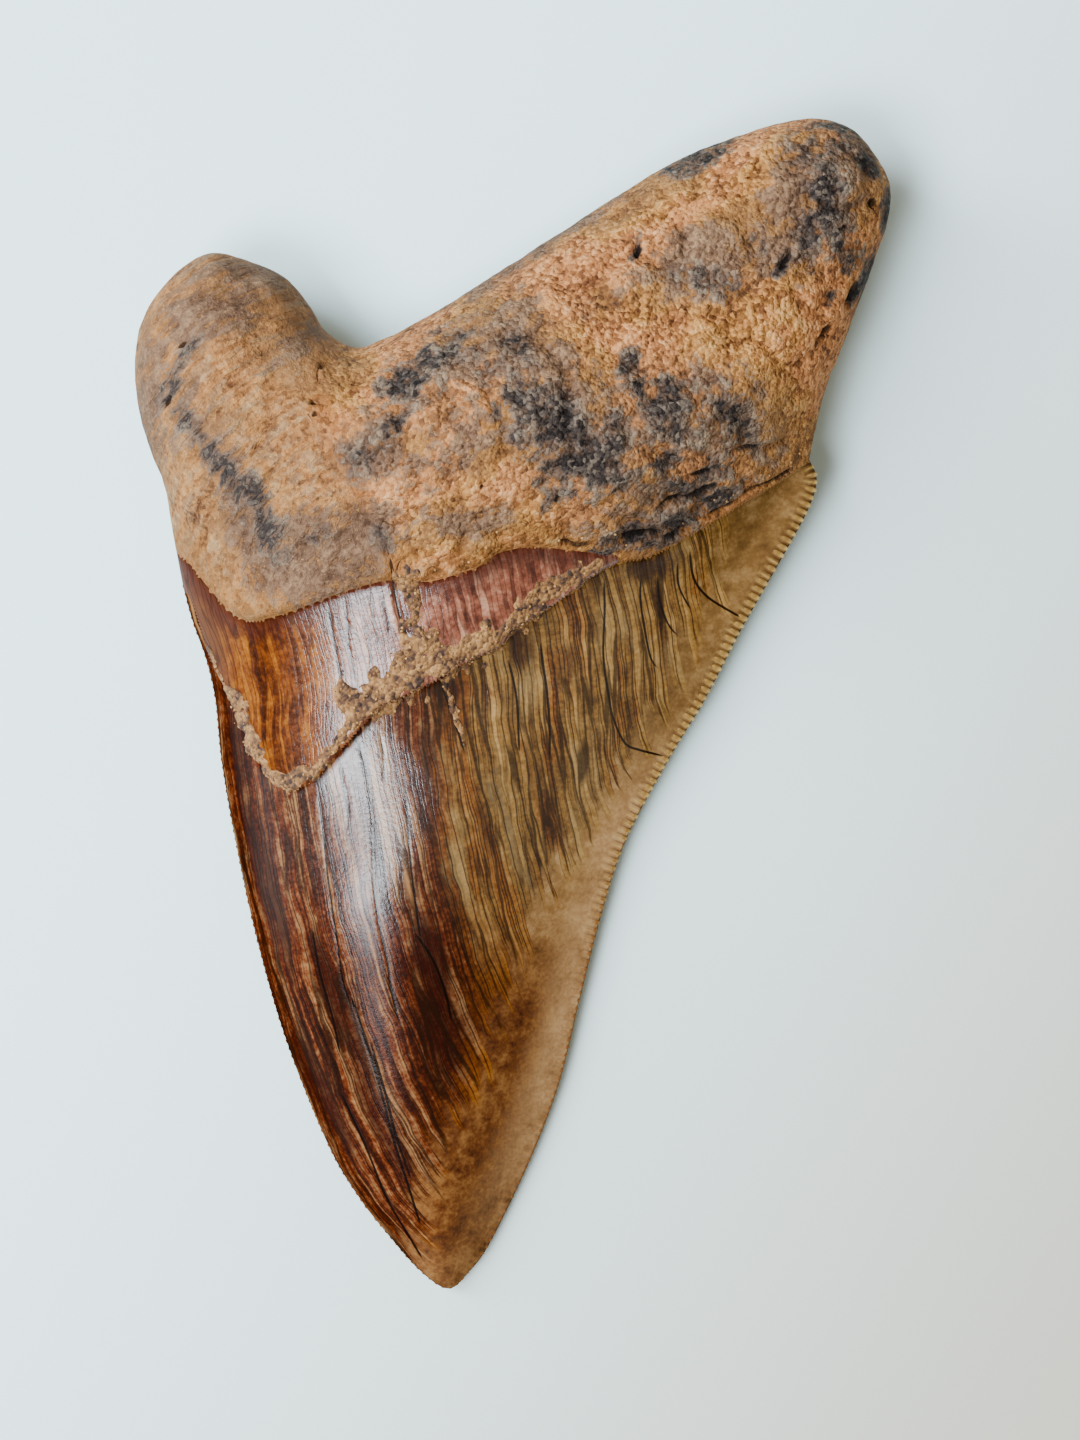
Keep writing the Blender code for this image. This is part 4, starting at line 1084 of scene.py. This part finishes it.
for share, over in ((inward, foot), (left, "#50260F"), (dimmed, "#5A3C1C")):
    colour = add(tree, MIX, {0: share, 6: colour, 7: over}, **COLOURS)
shader = add(tree, SHADER, {
    "Base Color": colour, "Roughness": 0.55, "IOR": 1.55, "Specular IOR Level": 0.15})
add(tree, FINISHED, {"Surface": shader})

edge_heights = along(crown_edge[:, 1], RIM_HEIGHT)
edge_path = bpy.data.meshes.new("serrations")
edge_path.from_pydata(
    ((np.column_stack([crown_edge, edge_heights]) - ORIGIN) * MM).tolist(),
    [(i, i + 1) for i in range(len(crown_edge) - 1)], [])
from_tip = np.arange(len(crown_edge)) - at_tip
slopes = EDGE_SLOPES[0] + (EDGE_SLOPES[1] - EDGE_SLOPES[0]) * ease(from_tip, -8, 8)
into = np.column_stack([inward_from(crown_edge), slopes])
worn = LEFT_WEAR + (along(crown_edge[:, 1], RIGHT_WEAR) - LEFT_WEAR) * ease(from_tip, -3, 3)
worn = np.column_stack([0.7 + 0.3 * worn, worn, 0.4 + 0.6 * worn])
keep_on_points(edge_path, "into", into)
keep_on_points(edge_path, "worn", worn)


def new_growth(name, sizes):
    """A Geometry Nodes tree with named inputs, and the inputs' values by their identifiers."""
    tree = bpy.data.node_groups.new(name, "GeometryNodeTree")
    for in_out in ("OUTPUT", "INPUT"):
        tree.interface.new_socket("Geometry", in_out=in_out, socket_type="NodeSocketGeometry")
    values = {}
    for size_name, (kind, value) in sizes.items():
        socket = tree.interface.new_socket(
            size_name, in_out="INPUT", socket_type="NodeSocket" + kind)
        values[socket.identifier] = value
    return tree, values


def grown(name, mesh, tree, values):
    """An object with the plain mesh that a tree makes from the given one."""
    thing = in_scene(name, mesh)
    growth = thing.modifiers.new(tree.name, "NODES")
    growth.node_group = tree
    for identifier, value in values.items():
        growth[identifier] = value
    evaluated = thing.evaluated_get(bpy.context.evaluated_depsgraph_get())
    made = bpy.data.meshes.new_from_object(evaluated)
    thing.modifiers.clear()
    thing.data = made
    return thing


tree, sizes = new_growth("serrations", {
    "Count": ("Int", serration_count + 1),
    "Size": ("Vector", [MM * s for s in SERRATION_SIZE]),
    "Set In": ("Float", MM * (SERRATION_SIZE[1] / 2 - OVERHANG)),
    "Kept": ("Float", KEPT),
    "Seed": ("Int", 4),
})
given = add(tree, "NodeGroupInput").outputs
curve = add(tree, "GeometryNodeMeshToCurve", {0: given["Geometry"]})
points = add(tree, "GeometryNodeCurveToPoints", {0: curve, 1: given["Count"]}, mode="COUNT")
into_tooth = add(tree, "GeometryNodeInputNamedAttribute", {0: "into"}, data_type="FLOAT_VECTOR")
turn = add(tree, "FunctionNodeAxesToRotation", {0: into_tooth, 1: points.outputs["Tangent"]},
           primary_axis="Y", secondary_axis="X")
bead = add(tree, "GeometryNodeMeshUVSphere", {0: 8, 1: 5, 2: 0.5})
bead_y = add(tree, PARTS, {0: add(tree, "GeometryNodeInputPosition")}).outputs[1]
inner_share = add(tree, MATH, {0: bead_y, 1: 0.5}, operation="ADD")
bead = add(tree, "GeometryNodeStoreNamedAttribute", {0: bead, 2: "inner_share", 3: inner_share},
           data_type="FLOAT", domain="POINT")
set_in = add(tree, "ShaderNodeCombineXYZ", {1: given["Set In"]})
bead = add(tree, "GeometryNodeTransform", {0: bead, 1: set_in, 3: given["Size"]})
varied = add(tree, "FunctionNodeRandomValue", {
    0: (0.85, 0.75, 0.8), 1: (1.1, 1.15, 1.2), 8: given["Seed"]}, data_type="FLOAT_VECTOR")
worn_at = add(tree, "GeometryNodeInputNamedAttribute", {0: "worn"}, data_type="FLOAT_VECTOR")
varied = add(tree, "ShaderNodeVectorMath", {0: varied, 1: worn_at}, **SCALED)
kept = add(tree, "FunctionNodeRandomValue", {6: given["Kept"], 8: given["Seed"]},
           data_type="BOOLEAN")
beads = add(tree, "GeometryNodeInstanceOnPoints", {
    0: points.outputs["Points"], 1: kept, 2: bead, 5: turn, 6: varied})
bead_tone = add(tree, "FunctionNodeRandomValue", {2: 0.0, 3: 1.0, 8: given["Seed"]},
                data_type="FLOAT")
beads = add(tree, "GeometryNodeStoreNamedAttribute", {0: beads, 2: "tone", 3: bead_tone},
            data_type="FLOAT", domain="INSTANCE")
beads = add(tree, "GeometryNodeRealizeInstances", {0: beads})
beads = add(tree, "GeometryNodeSetMaterial", {0: beads, 2: serration_enamel})
add(tree, "NodeGroupOutput", {0: add(tree, "GeometryNodeSetShadeSmooth", {0: beads})})

serrations = grown("serrations", edge_path, tree, sizes)
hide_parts("tooth")
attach(serrations, "root")


# The silt.
# Hard tan silt that still fills the chevron and the crack that runs up from it into the root, in
# crumbs. It is modelled as a crust that dips under the enamel at its ragged sides.
CHEVRON_SILT = [  # (x, y, half width) along its middle
    (-31.6, 5.9, 0.3), (-30.1, 2.5, 0.35), (-28.4, 0.2, 0.6), (-27.4, -2.3, 0.65),
    (-26.2, -4.8, 0.7), (-24.9, -6.8, 0.75), (-23.1, -7.7, 0.95), (-21.8, -7.4, 0.95),
    (-19.9, -6.5, 0.7), (-18.7, -4.8, 0.55), (-17.1, -2.9, 0.7), (-15.3, -1.0, 1.1),
    (-13.4, 0.6, 1.6), (-11.4, 2.5, 2.3), (-9.3, 3.7, 2.1), (-7.0, 4.0, 1.6),
    (-4.2, 5.2, 1.4), (-0.8, 7.5, 1.5), (2.5, 10.2, 1.2), (4.7, 12.0, 1.1),
    (7.3, 13.5, 0.9), (8.8, 14.1, 0.6),
]
CRACK_SILT = [(-10.5, 12.8, 0.9), (-10.2, 9.6, 1.0), (-9.6, 7.0, 1.4), (-9.8, 4.6, 1.6)]
STRAY_SILT = [(-7.4, 4.0, 0.9), (-6.7, 1.6, 0.45), (-5.7, -1.4, 0.4), (-4.9, -4.0, 0.3)]
SILT_PATCHES = [(-17.2, 0.7, 1.3), (-14.0, 3.0, 0.8)]
SILT_GRID = 0.26
SILT_EDGE = -0.45  # the cover at which it ends
SILT_RISE = 0.16
SILT_DIP = 0.25  # how far below the enamel its sides end
SILT_THICKNESS = 0.6
SILT_RELIEF = [(1.8, 0.20), (0.8, 0.15)]  # (size, height)
RAGGEDNESS = [(2.4, 0.8), (0.9, 0.9)]  # (size, how far its sides stray, in half widths)


def silt_cover(places):
    """1 in the middle of the silt, 0 at its sides and negative outside."""
    cover = np.full(len(places), -9.0)
    lines = [smooth_curve(points, 0.5) for points in (CHEVRON_SILT, CRACK_SILT, STRAY_SILT)]
    lines.append(np.array(SILT_PATCHES))
    for x, y, half_width in np.vstack(lines):
        off = np.hypot(places[:, 0] - x, places[:, 1] - y)
        cover = np.maximum(cover, 1 - off / half_width)
    for size, reach in RAGGEDNESS:
        cover += reach * np.array([noise.noise(Vector((x, y, 20.0)) / size) for x, y in places])
    return cover


silt_plan = hex_grid(SILT_GRID)
silt_plan = silt_plan[inside(silt_plan, ring)]
silt_plan = silt_plan[silt_cover(silt_plan) > SILT_EDGE]
made, _, silt_faces, _, _, _ = delaunay_2d_cdt([Vector(p) for p in silt_plan], [], [], 0, 1e-6)
silt_plan = np.array([tuple(p) for p in made])
silt_faces = np.array([tuple(f) for f in silt_faces])
corners = silt_plan[silt_faces]
longest = np.max([np.hypot(*(corners[:, i] - corners[:, i - 1]).T) for i in range(3)], axis=0)
silt_faces = silt_faces[longest < 1.5 * SILT_GRID]
used = np.unique(silt_faces)
renumbered = np.full(len(silt_plan), -1)
renumbered[used] = np.arange(len(used))
silt_plan, silt_faces = silt_plan[used], renumbered[silt_faces]

cover = silt_cover(silt_plan)
silt_height = inner_face(silt_plan, **measured(silt_plan, inner_lines))
bare = silt_height.copy()
silt_height += (SILT_RISE + SILT_DIP) * ease(cover, -0.4, 0.45) - SILT_DIP
for size, height in SILT_RELIEF:
    silt_height += ease(cover, -0.2, 0.3) * height * np.array(
        [noise.noise(Vector((x, y, 40.0)) / size) for x, y in silt_plan])
silt_skin = np.vstack([
    np.column_stack([silt_plan, silt_height]), np.column_stack([silt_plan, bare - SILT_THICKNESS]),
])
sides = {}
for a, b, c in silt_faces.tolist():
    for side in ((a, b), (b, c), (c, a)):
        sides[side] = True
loose = np.array([side for side in sides if side[::-1] not in sides])
below = len(silt_plan)
silt_all = np.vstack([
    silt_faces, silt_faces[:, ::-1] + below,
    np.column_stack([loose[:, 1], loose[:, 0], loose[:, 0] + below]),
    np.column_stack([loose[:, 1], loose[:, 0] + below, loose[:, 1] + below]),
])

# Dried silt, dull and sandy: tan grains of some 0.4 mm, with painted shade darkening its sides.
SILT_GRAIN = 1 / 0.00042
SILT_MOTTLE = 520.0
SILT_BUMP = 0.00026

silt_crumb, tree = new_finish("silt_crumb")
place = add(tree, COORDS).outputs["Object"]
mottle = add(tree, NOISE, {"Vector": place, "Scale": SILT_MOTTLE, "Detail": 4.0, "Roughness": 0.65})
grains = add(tree, CELLS, {"Vector": place, "Scale": SILT_GRAIN})
grain_tone = add(tree, "ShaderNodeSeparateColor", {0: grains.outputs["Color"]}).outputs[0]
tone = 0.0
for pattern, share in ((mottle, 0.8), (grain_tone, 0.2)):
    tone = add(tree, MATH, {0: pattern, 1: share, 2: tone}, **SCALED_SUM)
colour = add(tree, RAMP, {0: tone}, stops=[
    (0.36, "#221006"), (0.45, "#503218"), (0.54, "#765026"), (0.68, "#987042")])
# Painted shade at the sides, where the silt dips under the enamel.
side = add(tree, KEPT_VALUE, attribute_name="crumbly").outputs["Fac"]
side = add(tree, MATH, {0: mottle, 1: 1.6, 2: side}, **SCALED_SUM)
shaded = add(tree, RANGE, {0: side, 1: 1.15, 2: 0.75, 4: 0.7}, **SMOOTH)
colour = add(tree, MIX, {0: shaded, 6: colour, 7: "#241006"}, **COLOURS)
height = add(tree, MATH, {0: grains.outputs["Distance"], 1: -0.8, 2: mottle}, **SCALED_SUM)
bump = add(tree, "ShaderNodeBump", {"Height": height, "Distance": SILT_BUMP, "Strength": 1.0})
shader = add(tree, SHADER, {"Base Color": colour, "Roughness": 0.85, "IOR": 1.5, "Normal": bump})
add(tree, FINISHED, {"Surface": shader})

silt_mesh = bpy.data.meshes.new("chevron_silt")
silt_mesh.from_pydata(((silt_skin - ORIGIN) * MM).tolist(), [], silt_all.tolist())
keep_on_points(silt_mesh, "crumbly", np.concatenate([ease(cover, -0.3, 0.2), 0 * cover]))
silt_mesh.materials.append(silt_crumb)
silt_mesh.shade_smooth()
silt = in_scene("chevron_silt", silt_mesh)
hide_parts("tooth")
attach(silt, "root")


# The loose grains.
# Grains of silt and of crumbled dentine, 0.15 to 0.4 mm across, stuck on the silt and along the
# root's lip. Each is an uneven lump, dull, and from dark brown to tan.
GRAIN_RADII = (0.07, 0.19)
GRAINS_PER_MM2 = 1.6

loose_grain, tree = new_finish("loose_grain")
grain_tone = add(tree, KEPT_VALUE, attribute_name="tone").outputs["Fac"]
place = add(tree, COORDS).outputs["Object"]
mottle = add(tree, NOISE, {"Vector": place, "Scale": 900.0, "Detail": 3.0})
tone = 0.0
for pattern, share in ((mottle, 0.6), (grain_tone, 0.4)):
    tone = add(tree, MATH, {0: pattern, 1: share, 2: tone}, **SCALED_SUM)
colour = add(tree, RAMP, {0: tone}, stops=[
    (0.24, "#2C1809"), (0.42, "#5A3A1C"), (0.58, "#7E582C"), (0.75, "#A8824E")])
shader = add(tree, SHADER, {"Base Color": colour, "Roughness": 0.8, "IOR": 1.5})
add(tree, FINISHED, {"Surface": shader})

tree, sizes = new_growth("loose_grains", {
    "Density": ("Float", GRAINS_PER_MM2 / MM ** 2),
    "Smallest": ("Float", GRAIN_RADII[0] * MM),
    "Largest": ("Float", GRAIN_RADII[1] * MM),
    "Seed": ("Int", 11),
})
given = add(tree, "NodeGroupInput").outputs
crumbly_at = add(tree, "GeometryNodeInputNamedAttribute", {0: "crumbly"}, data_type="FLOAT")
density = add(tree, MATH, {0: crumbly_at, 1: given["Density"]}, **SCALED)
points = add(tree, "GeometryNodeDistributePointsOnFaces", {
    0: given["Geometry"], 4: density, 6: given["Seed"]})
grain_shape = add(tree, "GeometryNodeMeshIcoSphere", {0: 1.0, 1: 1})
turn = add(tree, "FunctionNodeRandomValue", {
    0: (0, 0, 0), 1: (6.28, 6.28, 6.28), 8: given["Seed"]}, data_type="FLOAT_VECTOR")
radius = add(tree, "FunctionNodeRandomValue", {
    2: given["Smallest"], 3: given["Largest"], 8: given["Seed"]}, data_type="FLOAT")
squash = add(tree, "FunctionNodeRandomValue", {
    0: (0.7, 0.7, 0.6), 1: (1.3, 1.1, 1.0), 8: given["Seed"]}, data_type="FLOAT_VECTOR")
size = add(tree, "ShaderNodeVectorMath", {0: squash, "Scale": radius}, operation="SCALE")
grains = add(tree, "GeometryNodeInstanceOnPoints", {
    0: points.outputs["Points"], 2: grain_shape, 5: turn, 6: size})
each_tone = add(tree, "FunctionNodeRandomValue", {2: 0.0, 3: 1.0, 8: given["Seed"]},
                data_type="FLOAT")
grains = add(tree, "GeometryNodeStoreNamedAttribute", {0: grains, 2: "tone", 3: each_tone},
             data_type="FLOAT", domain="INSTANCE")
grains = add(tree, "GeometryNodeRealizeInstances", {0: grains})
grains = add(tree, "GeometryNodeSetMaterial", {0: grains, 2: loose_grain})
add(tree, "NodeGroupOutput", {0: add(tree, "GeometryNodeSetShadeSmooth", {0: grains})})

for name, ground in (("silt_grains", silt_mesh), ("root_grains", tooth_mesh)):
    grains = grown(name, ground.copy(), tree, sizes)
    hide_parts("tooth")
    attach(grains, "root")


# The table and the light.
# A pale surface with painted light fall-off, brighter and cooler on its window side and darker and
# warmer away from it, two panes of window light from the left, and dim light from the room.
FLOOR_SIZE = 3.0
half = FLOOR_SIZE / 2
corners = [(-half, -half, 0), (half, -half, 0), (half, half, 0), (-half, half, 0)]
floor_mesh = bpy.data.meshes.new("table")
floor_mesh.from_pydata(corners, [], [(0, 1, 2, 3)])
table_paint, tree = new_finish("pale_table")
x, y, _ = add(tree, PARTS, {0: add(tree, COORDS).outputs["Object"]}).outputs
# Painted light: the table's colour falls off from bright and cool on the window side to a darker
# warm grey away from it.
painted_falloff = add(tree, MATH, {0: y, 1: -0.7, 2: x}, **SCALED_SUM)
painted_falloff = add(tree, RANGE, {0: painted_falloff, 1: -0.06, 2: 0.13}, **SMOOTH)
colour = add(tree, MIX, {0: painted_falloff, 6: "#DCF9FF", 7: "#AFAC9E"}, **COLOURS)
shader = add(tree, SHADER, {"Base Color": colour, "Roughness": 0.8})
add(tree, FINISHED, {"Surface": shader})
floor_mesh.materials.append(table_paint)
floor = in_scene("table", floor_mesh)

WINDOWS = [  # (name, place, size, watts): a bright near pane and a long dim one further left
    ("near_window", (-0.25, -0.18, 0.60), (0.27, 0.26), 8.0),
    ("far_window", (-0.50, 0.22, 0.50), (0.30, 0.70), 12.0),
]
WINDOW_COLOUR = (0.93, 1.0, 1.07)
ROOM_COLOUR = (1.0, 0.92, 0.76, 1.0)
ROOM_STRENGTH = 0.48
for name, stands, size, watts in WINDOWS:
    pane = bpy.data.lights.new(name, "AREA")
    pane.shape = "RECTANGLE"
    pane.size, pane.size_y = size
    pane.energy = watts
    pane.color = WINDOW_COLOUR
    window = in_scene(name, pane)
    window.location = stands
    window.rotation_euler = (-Vector(stands)).to_track_quat("-Z", "Y").to_euler()

room = bpy.data.worlds.new("room")
room.use_nodes = True
room.node_tree.nodes["Background"].inputs["Color"].default_value = ROOM_COLOUR
room.node_tree.nodes["Background"].inputs["Strength"].default_value = ROOM_STRENGTH
bpy.context.scene.world = room
